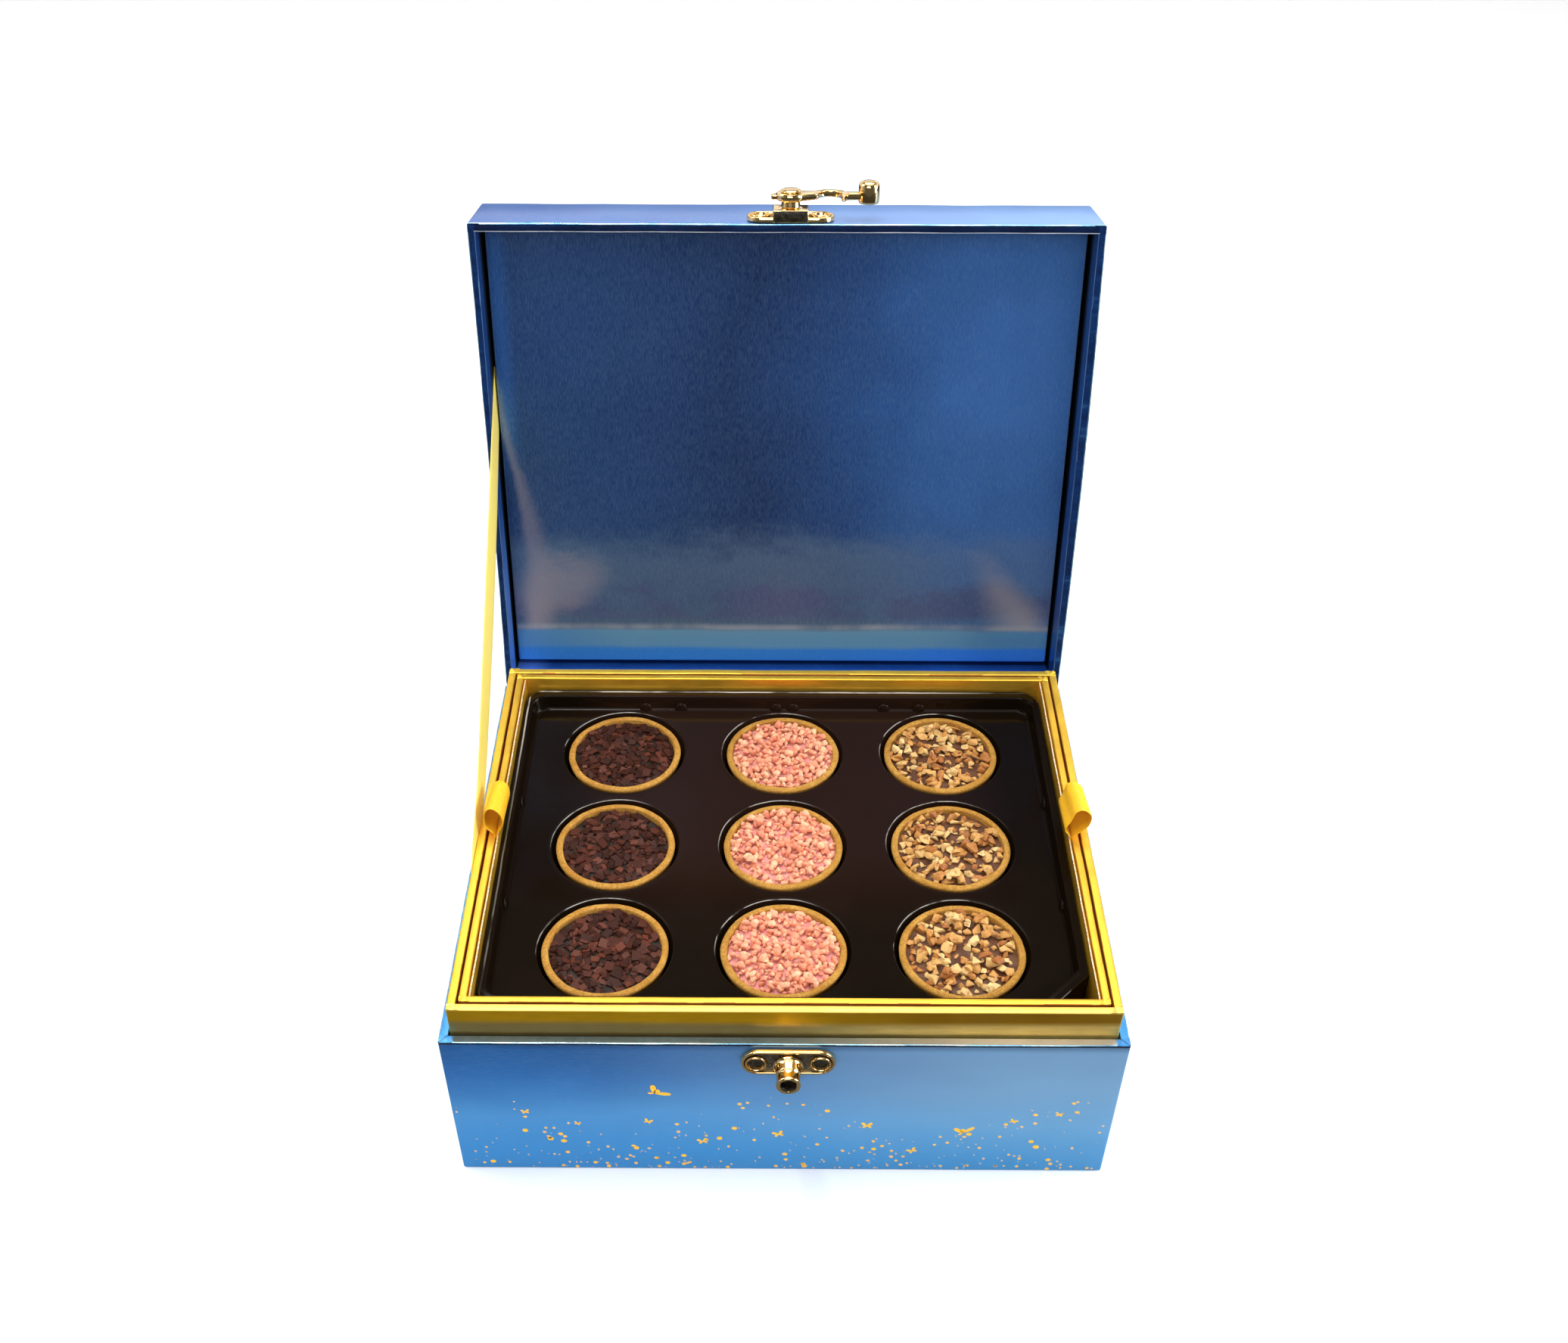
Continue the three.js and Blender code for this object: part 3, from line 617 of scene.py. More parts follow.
def rim_top_colour(n):
    """Grey-green along the front, greyer to the right; blue along the sides, with painted shade along the
    front corners' mitre creases.
    """
    streak = n.noise(90, 3, 0.6, (0.3, 0.3, 1))
    left = n.ramp(streak, (0.3, (0.070, 0.100, 0.105)), (0.7, (0.120, 0.165, 0.180)))
    right = n.ramp(streak, (0.3, (0.36, 0.33, 0.29)), (0.7, (0.52, 0.47, 0.41)))
    side = n.ramp(streak, (0.3, (0.020, 0.15, 0.42)), (0.5, (0.05, 0.30, 0.68)), (0.7, (0.20, 0.62, 0.85)))
    corner = n.between(abs(n.x), 114.2, 115.8)
    front = n.mix(corner, n.mix(n.between(n.x, -20, 100), left, right), side)
    # Painted shade: a dark line along the mitre crease at each front corner.
    from_mitre = abs(abs(n.x) + n.y - (BOX_HALF_X - BOX_HALF_Y))
    fold = n.between(from_mitre, 0.45, 0.15) * corner
    front = n.mix(fold * 0.85, front, (0.006, 0.020, 0.060))
    return n.mix(n.between(n.y, -94.5, -93.0), front, side)


# The other materials


def neck_gold(n):
    """Deep gold, with the front wall's foot browner at the left and paler at the right."""
    plain = n.mix(n.between(n.y, -89.5, -90.5), (0.98, 0.60, 0.060), (1.0, 0.68, 0.135))
    plain = n.mix(n.between(n.y, 89.5, 90.5), plain, (0.98, 0.66, 0.075))
    low = n.between(n.z + n.drift(3.0, 20, 2, stretch=(0.3, 1, 1)), 83.5, 80.0)
    right = n.between(n.x, -20, 70)
    top = n.mix(right, (0.78, 0.44, 0.004), (0.44, 0.21, 0.0))
    foot = n.mix(right, (0.40, 0.29, 0.100), (1.0, 0.72, 0.21))
    front_wall = n.between(n.y, -92.6, -93.1) * n.between(n.z, 87.6, 87.2)
    return n.mix(front_wall, plain, n.mix(low, top, foot))


def gold_paper(name, colour, roughness):
    """Gold paper; its colour is one colour or a colour function."""
    n = Nodes(name)
    wave = n.noise(60, 3)
    normal = n.relief((wave, 0.0005, 0.10), (n.noise(700, 4, 0.6, (1, 1, 2)), 0.00006, 0.35))
    tone = colour(n) if callable(colour) else colour
    shade = n.mix(n.between(n.noise(90, 3), 0.3, 0.7, 0, 0.07), tone, (0.01, 0.005, 0.0))
    streaks = n.between(n.noise(700, 3, 0.6, (0.15, 0.15, 1)), 0.42, 0.70, 0.0, 0.16)
    n.set(Base_Color=n.mix(streaks, shade, (0.40, 0.18, 0.0)), Metallic=0.85, Normal=normal)
    n.set(Roughness=n.between(wave, 0.3, 0.7, roughness - 0.04, roughness + 0.06))
    n.set(Coat_Weight=0.08, Coat_Roughness=0.2)
    return n.material


def plastic():
    """Glossy dark plastic, warmer in its middle, with broken painted highlights on pocket lips and ridges."""
    n = Nodes("dark_moulded_plastic")
    middle = n.between(abs(n.x), 95, 50) * n.between(n.y, -55, -5)
    warm = n.clamped(middle + n.drift(0.8, 22, 3))
    tone = n.ramp(warm, (0.0, (0.0060, 0.0034, 0.0016)), (1.0, (0.0150, 0.0070, 0.0044)))
    # Painted highlights: broken bright arcs on the pockets' lips at their back left.
    ripple = n.drift(0.6, 60, 2)
    u = n.math("WRAP", n.x, COLUMN_PITCH / 2, -COLUMN_PITCH / 2)
    v = n.math("WRAP", n.y - ROWS_SHIFT, ROW_PITCH / 2, -ROW_PITCH / 2)
    reach = n.math("SQRT", u * u + v * v)
    from_lip = abs(reach + ripple - (POCKET_RADIUS + 0.35))
    lip = n.between((v * 0.83 - u * 0.55) / reach, 0.35, 0.85)
    lip = lip * n.between(n.noise(90, 3, 0.6), 0.38, 0.56) * n.between(from_lip, 0.24, 0.05)
    lip = lip * n.between(n.z, 74.5, 75.2) * n.between(abs(n.x), 96.0, 95.5)
    # Painted highlights: broken bright lines along the back and left ridges.
    back = n.between(abs(n.y + ripple - 84.8), 0.55, 0.2) * n.between(n.x, 90, 50, 0.25, 1.0)
    side = n.between(abs(n.x + ripple + 106.8), 0.45, 0.15) * n.between(n.y, 20, 70, 0.25, 1.0)
    ridge = n.largest(back, side) * n.between(n.z, 81.5, 81.9)
    ridge = ridge * n.between(n.noise(45, 3, 0.6), 0.36, 0.55, 0.15, 1.0)
    tone = n.mix(n.largest(lip * 0.42, ridge * 0.55), tone, (0.72, 0.70, 0.66))
    normal = n.relief((n.noise(24, 2), 0.0009, 0.25), (n.noise(160, 2), 0.0001, 0.12))
    n.set(Base_Color=tone, Normal=normal, Specular_IOR_Level=0.08)
    n.set(Roughness=n.between(n.noise(40, 3), 0.3, 0.7, 0.07, 0.13))
    return n.material


def satin(name, colour, dark, sheen, gloss=0.2):
    """Satin ribbon: fine ribs across it and a soft sheen."""
    n = Nodes(name)
    rib = n.node("TexWave", Vector=n.coordinates, Scale=1500, Distortion=1.2, Detail=1)
    rib.bands_direction = "DIAGONAL"
    weave = rib.outputs["Fac"]
    slub = n.noise(800, 3, 0.6)
    shade = n.mix(n.between(slub, 0.35, 0.75, 0, 0.5), colour, dark)
    normal = n.relief((weave, 0.00008, 0.45), (slub, 0.00006, 0.4))
    n.set(Base_Color=shade, Normal=normal, Metallic=0.0, Specular_IOR_Level=gloss)
    n.set(Roughness=n.between(weave, 0.0, 1.0, 0.36, 0.5))
    n.set(Sheen_Weight=sheen, Sheen_Roughness=0.35, Sheen_Tint=(1, 0.84, 0.42), Anisotropic=0.5)
    return n.material


def metal():
    n = Nodes("polished_gold_plate")
    shade = n.mix(n.noise(500, 3), (1.0, 0.74, 0.37), (0.95, 0.62, 0.24))
    normal = n.relief((n.noise(350, 3), 0.00012, 0.16), (n.noise(2200, 2), 0.00002, 0.3))
    n.set(Base_Color=shade, Metallic=1.0, Normal=normal)
    n.set(Roughness=n.between(n.noise(260, 3), 0.3, 0.7, 0.06, 0.15))
    return n.material


def dish_metal():
    """The plate's sunk face: dark and crackled."""
    n = Nodes("dark_textured_plate")
    grit = n.noise(1500, 4, 0.7)
    shade = n.ramp(grit, (0.35, (0.030, 0.026, 0.018)), (0.6, (0.16, 0.14, 0.10)), (0.75, (0.42, 0.34, 0.22)))
    n.set(Base_Color=shade, Metallic=0.7, Normal=n.relief((grit, 0.0003, 0.7)))
    n.set(Roughness=n.between(grit, 0.3, 0.7, 0.3, 0.5))
    return n.material


# Painted shade: near-black metal for the rivets' pits, the stud's hexagonal hole and the post block's lower
# face.
def pit_metal():
    n = Nodes("dark_metal_painted_shade")
    grit = n.noise(900, 3)
    shade = n.ramp(grit, (0.4, (0.010, 0.008, 0.005)), (0.75, (0.06, 0.05, 0.03)))
    n.set(Base_Color=shade, Metallic=0.4, Roughness=0.3, Normal=n.relief((grit, 0.0002, 0.5)))
    return n.material


def card():
    """Bare white card on the inner half of a cut edge, whose outer half the gold paper covers."""
    n = Nodes("raw_card_edge")
    fibres = n.noise(1500, 3)
    hatch = n.between(n.noise(900, 1, stretch=(0.1, 1, 0.1)), 0.45, 0.56)
    cut = n.mix(hatch * 0.5, n.mix(fibres, (0.92, 0.88, 0.78), (0.72, 0.62, 0.46)), (0.30, 0.14, 0.04))
    middle = LINER_X + LINER_THICKNESS / 2
    covered = n.between(abs(n.x), middle - 0.05, middle + 0.05)
    n.set(Base_Color=n.mix(covered, cut, (0.62, 0.33, 0.030)), Roughness=0.7)
    n.set(Normal=n.relief((fibres, 0.0001, 0.5)))
    return n.material


def crust():
    """Baked shortcrust: sandy, pale golden, browner on its outside and in its pits."""
    n = Nodes("baked_crust")
    sand = n.noise(1100, 4, 0.7)
    broad = n.noise(120, 3)
    pits = n.node("TexVoronoi", Vector=n.coordinates, Scale=900).outputs["Distance"]
    tone = n.mix(n.between(broad, 0.35, 0.68), (0.52, 0.285, 0.060), (0.41, 0.205, 0.034))
    tone = n.mix(n.between(sand, 0.38, 0.60, 0.62, 0.0), tone, (0.27, 0.105, 0.018))
    tone = n.mix(n.between(n.z, 72.5, 76.0, 0.55, 0.0), tone, (0.34, 0.155, 0.026))
    pitted = (n.between(pits, 0.0, 0.35), 0.00018, 0.35)
    normal = n.relief((broad, 0.0004, 0.3), (sand, 0.0003, 0.55), pitted)
    n.set(Base_Color=tone, Roughness=0.8, Normal=normal, Specular_IOR_Level=0.12)
    n.glow_inside(0.10, (0.003, 0.0015, 0.0006), 0.5)
    return n.material


def cream(name, light, dark, roughness=0.5):
    n = Nodes(name)
    broad = n.noise(260, 3)
    normal = n.relief((broad, 0.0005, 0.5), (n.noise(1100, 3), 0.0001, 0.4))
    n.set(Base_Color=n.mix(n.between(broad, 0.3, 0.7), dark, light), Roughness=roughness, Normal=normal)
    n.set(Specular_IOR_Level=0.2)
    n.glow_inside(0.12, (0.002, 0.001, 0.001), 0.5)
    return n.material


def flake_chocolate():
    n = Nodes("chocolate_flakes")
    fine = n.noise(900, 4, 0.6)
    tone = n.ramp(
        n.tint(),
        (0.0, srgb(44, 22, 16)),
        (0.4, srgb(56, 29, 21)),
        (0.75, srgb(76, 40, 30)),
        (0.93, srgb(98, 58, 46)),
        (1.0, srgb(92, 42, 24)),
    )
    tone = n.mix(n.between(fine, 0.4, 0.7, 0.0, 0.22), tone, srgb(80, 46, 36))
    normal = n.relief((fine, 0.00016, 0.45), (n.noise(2600, 2), 0.00004, 0.5))
    n.set(Base_Color=tone, Normal=normal, Specular_IOR_Level=0.10)
    n.set(Roughness=n.between(fine, 0.3, 0.7, 0.38, 0.55))
    n.glow_inside(0.05, (0.001, 0.0004, 0.0003), 0.3)
    return n.material


def crunch_pink():
    n = Nodes("pink_crunch")
    fine = n.noise(1300, 4, 0.65)
    tints = (0.0, srgb(216, 132, 102)), (0.5, srgb(230, 154, 122)), (1.0, srgb(240, 184, 146))
    tone = n.ramp(n.tint(), *tints)
    tone = n.mix(n.between(fine, 0.45, 0.75, 0.0, 0.3), tone, srgb(244, 204, 176))
    n.set(Base_Color=tone, Normal=n.relief((fine, 0.00022, 0.5)), Specular_IOR_Level=0.2)
    n.set(Roughness=n.between(fine, 0.3, 0.7, 0.45, 0.65))
    n.glow_inside(0.25, (0.002, 0.0009, 0.0007), 0.5)
    return n.material


def nut():
    n = Nodes("chopped_nuts")
    fine = n.noise(1000, 4, 0.6)
    tone = n.ramp(
        n.tint(),
        (0.0, srgb(150, 86, 38)),
        (0.25, srgb(184, 124, 60)),
        (0.55, srgb(206, 158, 88)),
        (1.0, srgb(222, 192, 132)),
    )
    toasted = n.between(n.noise(420, 3, 0.6), 0.52, 0.68, 0.0, 0.72)
    tone = n.mix(toasted, tone, srgb(152, 88, 38))
    tone = n.mix(n.between(fine, 0.45, 0.75, 0.0, 0.2), tone, srgb(232, 206, 152))
    normal = n.relief((fine, 0.0002, 0.45))
    n.set(Base_Color=tone, Normal=normal, Roughness=0.5, Specular_IOR_Level=0.25)
    n.glow_inside(0.18, (0.002, 0.0012, 0.0006), 0.5)
    return n.material


def printed_gold():
    n = Nodes("printed_gold_ink")
    tone = n.ramp(n.tint(), (0.0, srgb(222, 164, 172)), (0.4, srgb(240, 182, 118)), (1.0, srgb(255, 192, 52)))
    normal = n.relief((n.noise(1500, 3), 0.00003, 0.4))
    n.set(Base_Color=tone, Metallic=0.0, Specular_IOR_Level=0.2, Roughness=0.5, Normal=normal)
    return n.material


hairlines = streaked(120, (1, 1, 0.3), (0.3, (0.018, 0.060, 0.19)), (0.7, (0.11, 0.23, 0.46)))
# Painted highlight: cyan-white streaks for the outer edges of the base's and the lid's rims.
painted_edge_highlight = streaked(
    220, (0.3, 1, 1), (0.3, (0.05, 0.30, 0.62)), (0.5, (0.38, 0.74, 0.92)), (0.68, (0.85, 0.97, 1.0))
)
pale = streaked(200, (0.3, 1, 1), (0.3, (0.22, 0.26, 0.36)), (0.7, (0.66, 0.70, 0.76)))

BLUE = pearl_foil("blue_pearl_foil_base", base_colour, 0.30, 0.35)
LID_BLUE = pearl_foil("blue_pearl_foil_lid", lid_colour, 0.30, 0.5)
RIM_BLUE = pearl_foil("blue_pearl_foil_rims", rim_colour, 0.34, 0.6, 0.6, 0.04, fleck=0.02)
SIDE_BLUE = pearl_foil("blue_pearl_foil_lid_inside", lid_side_colour, 0.3, 0.6, fleck=0.03)
HAIRLINE = pearl_foil("blue_pearl_foil_hairlines", hairlines, 0.3, 0.5, 0.4, 0.2)
PANEL_BLUE = pearl_foil("blue_pearl_foil_panel", panel_colour, 0.3, 0.25, 0.4, 0.12, (1.5, 0.3, 0.3))
EDGE = pearl_foil("painted_highlight_foil_edges", painted_edge_highlight, 0.22, 0.5, 0.8, 0.6)
EDGE_PALE = pearl_foil("pale_foil_edges", pale, 0.35, 0.5, 0.3, 0.3)
RIM_TOP = pearl_foil("blue_pearl_foil_rim_top", rim_top_colour, 0.30, 0.6, 0.55, 0.3)
GOLD = gold_paper("gold_paper", neck_gold, 0.42)
# Painted shade: a darker, browner gold for faces in the narrow gaps.
GAP_SHADE = gold_paper("gold_paper_in_painted_gap_shade", (0.45, 0.16, 0.02), 0.6)
TRAY_GOLD = gold_paper("gold_paper_tray", (0.98, 0.575, 0.055), 0.40)
DARK = plastic()
RIBBON = satin("satin_ribbon", (1.0, 0.84, 0.17), (1.0, 0.75, 0.11), 0.4, 0.9)
LOOP_RIBBON = satin("satin_ribbon_loops", (0.90, 0.50, 0.022), (0.77, 0.36, 0.010), 0.12)
METAL = metal()
DISH = dish_metal()
PIT_SHADE = pit_metal()
CARD = card()
CRUST = crust()
FLAKE_CREAM = cream("flake_cream", (0.034, 0.024, 0.018), (0.014, 0.009, 0.006), 0.6)
PINK_CREAM = cream("pink_cream", srgb(222, 156, 150), srgb(204, 130, 124))
NUT_CREAM = cream("nut_cream", (0.150, 0.064, 0.031), (0.088, 0.034, 0.016), 0.45)
FLAKE = flake_chocolate()
PINK = crunch_pink()
NUT = nut()
INK = printed_gold()


# The board


def base_box():
    wall, top = BASE_WALL, BASE_HEIGHT
    points = [(3.0, 0.0), (0.0, 0.0), (0.0, top), (wall, top), (wall, wall), (wall + 2, wall)]
    profile = fillet(points, [0, 0.8, 0.42, 0.25, 0.4, 0], 4, closed=False)
    upright = next(i for i, (inset, height) in enumerate(profile) if inset < 1e-6 and height > 0.5)
    profile[upright + 1 : upright + 1] = [(0.0, height) for height in (12, 30, 50, 68)]
    part = rect_sweep(BOX_HALF_X, BOX_HALF_Y, 0.9, profile, 0.10, 3.0, caps=True, side=40)

    def choose(x, y, z):
        out = max(abs(x) - BOX_HALF_X, abs(y) - BOX_HALF_Y)
        # The rim's outer edge takes the painted highlight.
        if z > top - 0.17 and out > -EDGE_HIGHLIGHT_WIDTH:
            return 1
        return 2 if z > top - 0.2 and out < -0.3 else 0

    obj = add_piece("base_board", part, [BLUE, EDGE, RIM_TOP], "base", pick_faces(part, choose))
    stand_for(obj, "blue_foil_board", "base_box")


def board_ring(name, node, half_x, half_y, wall, material, edge, seed, gap):
    """A ring of gold board; its face towards the narrow gap, inner or outer, is darker with painted shade."""
    points = [(0, WALLS_FOOT), (0, NECK_TOP), (wall, NECK_TOP), (wall, WALLS_FOOT)]
    profile = fillet(points, [0, edge, edge, 0], 4)
    part = rect_sweep(half_x, half_y, 0.9, profile, 0.12, seed, close=True, side=40)

    def choose(x, y, z):
        inset = min(half_x - abs(x), half_y - abs(y))
        # Faces in the gap take the painted shade.
        in_gap = inset > wall - 0.42 if gap == "inner" else inset < 0.30
        return 1 if in_gap and z < NECK_TOP - 0.10 else 0

    obj = add_piece(name, part, [material, GAP_SHADE], "base", pick_faces(part, choose))
    stand_for(obj, "gold_paper_board", node)


def corner_fold(corner_x, corner_y, wall, top, long_x, long_y, creases, seed):
    """The folded paper at a rim's corner: a low fan of creases from the inner corner to the outer edges."""
    rng = random.Random(seed)
    sx, sy = (1 if corner_x > 0 else -1), (1 if corner_y > 0 else -1)
    inset, flat, foot = 0.12, 0.03, top - 0.35
    spread = (0.2, 0.45, 0.72, 1.0)
    inner_x, inner_y = corner_x - sx * (wall - 0.25), corner_y - sy * (wall - 0.25)
    rim = [(corner_x - sx * (inset + long_x * t), corner_y - sy * inset) for t in spread[::-1]]
    rim.append((corner_x - sx * 0.3, corner_y - sy * 0.3))
    rim += [(corner_x - sx * inset, corner_y - sy * (inset + long_y * t)) for t in spread]
    n = len(rim)
    heights = [flat if k % 2 == 0 else creases * (0.57 + 0.43 * rng.random()) for k in range(n)]
    verts = [(x, y, top + h) for (x, y), h in zip(rim, heights)]
    for (x, y), h in zip(rim, heights):
        verts.append(((x + inner_x) / 2, (y + inner_y) / 2, top + h * 0.9 + flat * rng.random()))
    verts += [(x, y, foot) for x, y in rim]
    verts += [(inner_x, inner_y, top + 0.36 * creases), (inner_x, inner_y, foot)]
    c_top, c_foot = 3 * n, 3 * n + 1
    faces = []
    for k in range(n - 1):
        faces.append((k, k + 1, n + k + 1, n + k))
        faces.append((n + k, n + k + 1, c_top))
        faces.append((2 * n + k, 2 * n + k + 1, k + 1, k))
        faces.append((2 * n + k + 1, 2 * n + k, c_foot))
    faces.append((2 * n, 0, n, c_top, c_foot))
    faces.append((c_foot, c_top, 2 * n - 1, n - 1, 3 * n - 1))
    return verts, faces


def folds(name, rim, material, body, reach, seed, transform=None, creases=0.28):
    """The four corner folds of a rim, which is given as its half sizes, wall and top."""
    half_x, half_y, wall, top = rim
    long_x, long_y = reach * 1.1, reach * 0.8
    parts = []
    for i, (sx, sy) in enumerate([(-1, -1), (1, -1), (1, 1), (-1, 1)]):
        parts.append(corner_fold(sx * half_x, sy * half_y, wall, top, long_x, long_y, creases, seed + i))
    part = joined(parts)
    if transform:
        part = placed(part, transform)
    add_piece(name, part, [material], body, smooth=24)


def tray():
    board_ring("tray_board", "tray_box", TRAY_HALF_X, TRAY_HALF_Y, TRAY_WALL, TRAY_GOLD, 0.55, 9.0, "outer")
    half_x, half_y, foot = TRAY_HALF_X - TRAY_WALL, TRAY_HALF_Y - TRAY_WALL, TRAY_FLOOR_TOP - 2.8
    profile = [(2, foot), (0, foot), (0, TRAY_FLOOR_TOP), (2, TRAY_FLOOR_TOP)]
    floor = rect_sweep(half_x, half_y, 0.5, profile, caps=True, side=10)
    add_piece("tray_floor", floor, [TRAY_GOLD], "base")


def liner(side, name):
    """A card liner: gold on its faces, bare white on its cut top edge."""
    low, high, half_y, steps = TRAY_FLOOR_TOP + 0.3, NECK_TOP - 0.7, 86.3, 60
    inner, outer = side * LINER_X, side * (LINER_X + LINER_THICKNESS)
    loops = []
    for k in range(steps + 1):
        y = -half_y + 2 * half_y * k / steps
        bow = side * 0.05 * math.sin(k * 0.7)
        top = high + 0.04 * math.sin(k * 1.9) + 0.03 * math.sin(k * 0.53)
        loops.append([(inner, y, low), (inner + bow, y, top), (outer + bow, y, top), (outer, y, low)])
    mats = [1 if k % 4 == 1 else 0 for k in range(steps * 4)] + [0, 0]
    obj = add_piece(name + "_card", sweep(loops, caps=True), [TRAY_GOLD, CARD], "base", mats)
    stand_for(obj, "raw_card", name)


base_box()
base_rim = (BOX_HALF_X, BOX_HALF_Y, BASE_WALL, BASE_HEIGHT)
folds("base_corner_folds", base_rim, RIM_TOP, "base", 4.6, 11, creases=0.12)
board_ring("neck_board", "neck", NECK_HALF_X, NECK_HALF_Y, NECK_WALL, GOLD, 0.6, 5.0, "inner")
neck_rim = (NECK_HALF_X, NECK_HALF_Y, NECK_WALL, NECK_TOP)
folds("neck_corner_folds", neck_rim, GOLD, "base", 4.0, 21)
tray()
tray_rim = (TRAY_HALF_X, TRAY_HALF_Y, TRAY_WALL, NECK_TOP)
folds("tray_corner_folds", tray_rim, TRAY_GOLD, "base", 3.6, 31)
liner(-1, "liner_left")
liner(1, "liner_right")


# The insert


def insert():
    """The moulded insert: border, drafted wall, panel and nine turned pockets."""
    border_side, border_front = 2.8, 4.2
    corner, cut = 9.0, 15.0
    outer = (INSERT_HALF_X, INSERT_HALF_Y, corner, cut)
    ridge = (INSERT_HALF_X - border_side, INSERT_HALF_Y - border_front, corner - border_side, cut - 1)

    def loop_at(share, z, inset=0.0):
        """A loop from the outer outline, share 0, to the ridge's, share 1."""
        hx, hy, r, c = (a + (b - a) * share for a, b in zip(outer, ridge))
        ring = rounded_rect(hx - inset, hy - inset, r - inset * 0.5, side=30, corner=8, cut=c - inset * 0.586)
        return [(x, y, z) for x, y in ring]

    loops = [loop_at(0, INSERT_FOOT), loop_at(0, INSERT_TOP - 0.9)]
    loops += [loop_at(0, INSERT_TOP - 0.3, 0.12), loop_at(0, INSERT_TOP - 0.06, 0.45)]
    loops += [loop_at(0.35, INSERT_TOP - 0.12), loop_at(0.72, INSERT_TOP - 0.10), loop_at(0.86, INSERT_TOP)]
    depth = INSERT_TOP - PANEL_Z
    draft = ((0.02, 0.1), (0.07, 0.32), (0.16, 0.50), (0.5, 0.8), (0.82, 1.05), (0.93, 1.3), (0.985, 1.7))
    for share, inset in draft:
        loops.append(loop_at(1, INSERT_TOP - depth * share, inset))
    loops.append(loop_at(1, PANEL_Z, 2.5))
    verts, faces = sweep(loops)
    edge = list(range(len(verts) - len(loops[0]), len(verts)))

    segments = 96
    foot = POCKET_RADIUS - 5.2
    profile = [(POCKET_RADIUS + 2.2, PANEL_Z)]
    for k in range(7):
        angle = QUARTER * k / 6
        profile.append((POCKET_RADIUS + 0.6 * (1 - math.sin(angle)), PANEL_Z - 0.6 * (1 - math.cos(angle))))
    wall = ((0.3, 2.4), (0.75, 2.9), (1.0, 3.8), (2.6, 10.0))
    profile += [(POCKET_RADIUS - inset, PANEL_Z - drop) for inset, drop in wall]
    profile += [(foot + 0.6, TART_BASE + 0.9), (foot - 0.4, TART_BASE - 0.15), (foot - 2, TART_BASE - 0.3)]
    order, outlines = edge, [edge]
    for _, cx in COLUMNS:
        for _, cy in ROWS:
            hole = list(range(len(verts), len(verts) + segments))[::-1]
            rings = [[(cx + x, cy + y, z) for x, y in circle(radius, segments)] for radius, z in profile]
            verts, faces = joined([(verts, faces), sweep(rings)])
            faces.append(tuple(range(len(verts) - segments, len(verts))))
            outlines.append(hole)
            order = order + hole
    for a, b, c in tessellate_polygon([[Vector(verts[i]) for i in outline] for outline in outlines]):
        faces.append((order[a], order[b], order[c]))
    obj = add_piece("insert_skin", (verts, faces), [DARK], "base", smooth=35)
    skin = obj.modifiers.new("skin", "SOLIDIFY")
    skin.thickness = 0.45 * MM
    skin.offset = -1
    stand_for(obj, "dark_plastic", "insert")

    bumps = []
    ridge_x, ridge_y = ridge[0] - 1.3, ridge[1] - 1.3
    places = [(side * ridge_x, y, (0.55, 1.5)) for side in (-1, 1) for y in (-33, 22)]
    places += [(x, ridge_y, (1.3, 0.55)) for x in (-58, -43, -2.7, 4.5, 43, 58)]
    dome = [(0, 0)] + [(2.1 * math.cos(a), 2.4 * math.sin(a)) for a in (0, 0.35, 0.7, 1.0, 1.3)] + [(0, 2.4)]
    for x, y, (wide, long) in places:
        vs, fs = lathe(dome, 20)
        bumps.append(([(x + a * wide, y + b * long, PANEL_Z - 0.05 + c * 1.5) for a, b, c in vs], fs))
    add_piece("insert_snap_bumps", joined(bumps), [DARK], "base")


insert()


# The tartlets


def ring_noise(angle, z, seed, scale=1.0):
    return noise.noise(Vector((math.cos(angle) * scale + seed, math.sin(angle) * scale, z)))


def tart_crust(cx, cy, seed):
    inner, h, foot = TART_RADIUS - 2.6, TART_HEIGHT, TART_FOOT_RADIUS
    profile = [(0, 0.25), (8, 0.2), (foot - 2, 0), (foot - 0.7, 0), (foot, 0.9)]
    profile += [(foot + (TART_RADIUS - foot) * k / 12, 0.9 + (h - 2.4) * k / 12) for k in range(1, 12)]
    for k in range(1, 7):
        angle = QUARTER * k / 6
        profile.append((TART_RADIUS - 1.15 * (1 - math.cos(angle)), h - 1.2 + 1.15 * math.sin(angle)))
    profile += [(TART_RADIUS - 1.5, h + 0.02), (inner + 0.75, h)]
    for k in range(1, 5):
        angle = QUARTER * k / 4
        profile.append((inner + 0.6 * (1 - math.sin(angle)), h - 0.6 * (1 - math.cos(angle))))
    profile += [(inner - 0.15, h - 1.4), (inner - 0.3, h - 2.4), (inner - 0.6, h - 4.5)]
    profile += [(inner - 1.5, h - 8), (0, h - 8)]
    verts, faces = lathe(profile, 112)
    made = []
    for x, y, z in verts:
        radius, angle = math.hypot(x, y), math.atan2(y, x)
        share = z / h
        grow = 1 + 0.010 * ring_noise(angle, 0, seed, 1.4) + 0.004 * ring_noise(angle, z * 0.2, seed + 4, 5)
        lift = 0.30 * share * share * ring_noise(angle, 0, seed + 9, 2.0)
        on_lip = radius < TART_RADIUS - 1.4 and z > h - 4
        width = 0.22 * ring_noise(angle, 1, seed + 5, 2.6) if on_lip else 0
        grit = 0.05 * noise.noise(Vector((x * 1.7, y * 1.7, z * 1.7 + seed)))
        radius = radius * grow + width + grit if radius > 1 else radius
        height = TART_BASE + z + lift + grit
        made.append((cx + radius * math.cos(angle), cy + radius * math.sin(angle), height))
    return made, faces


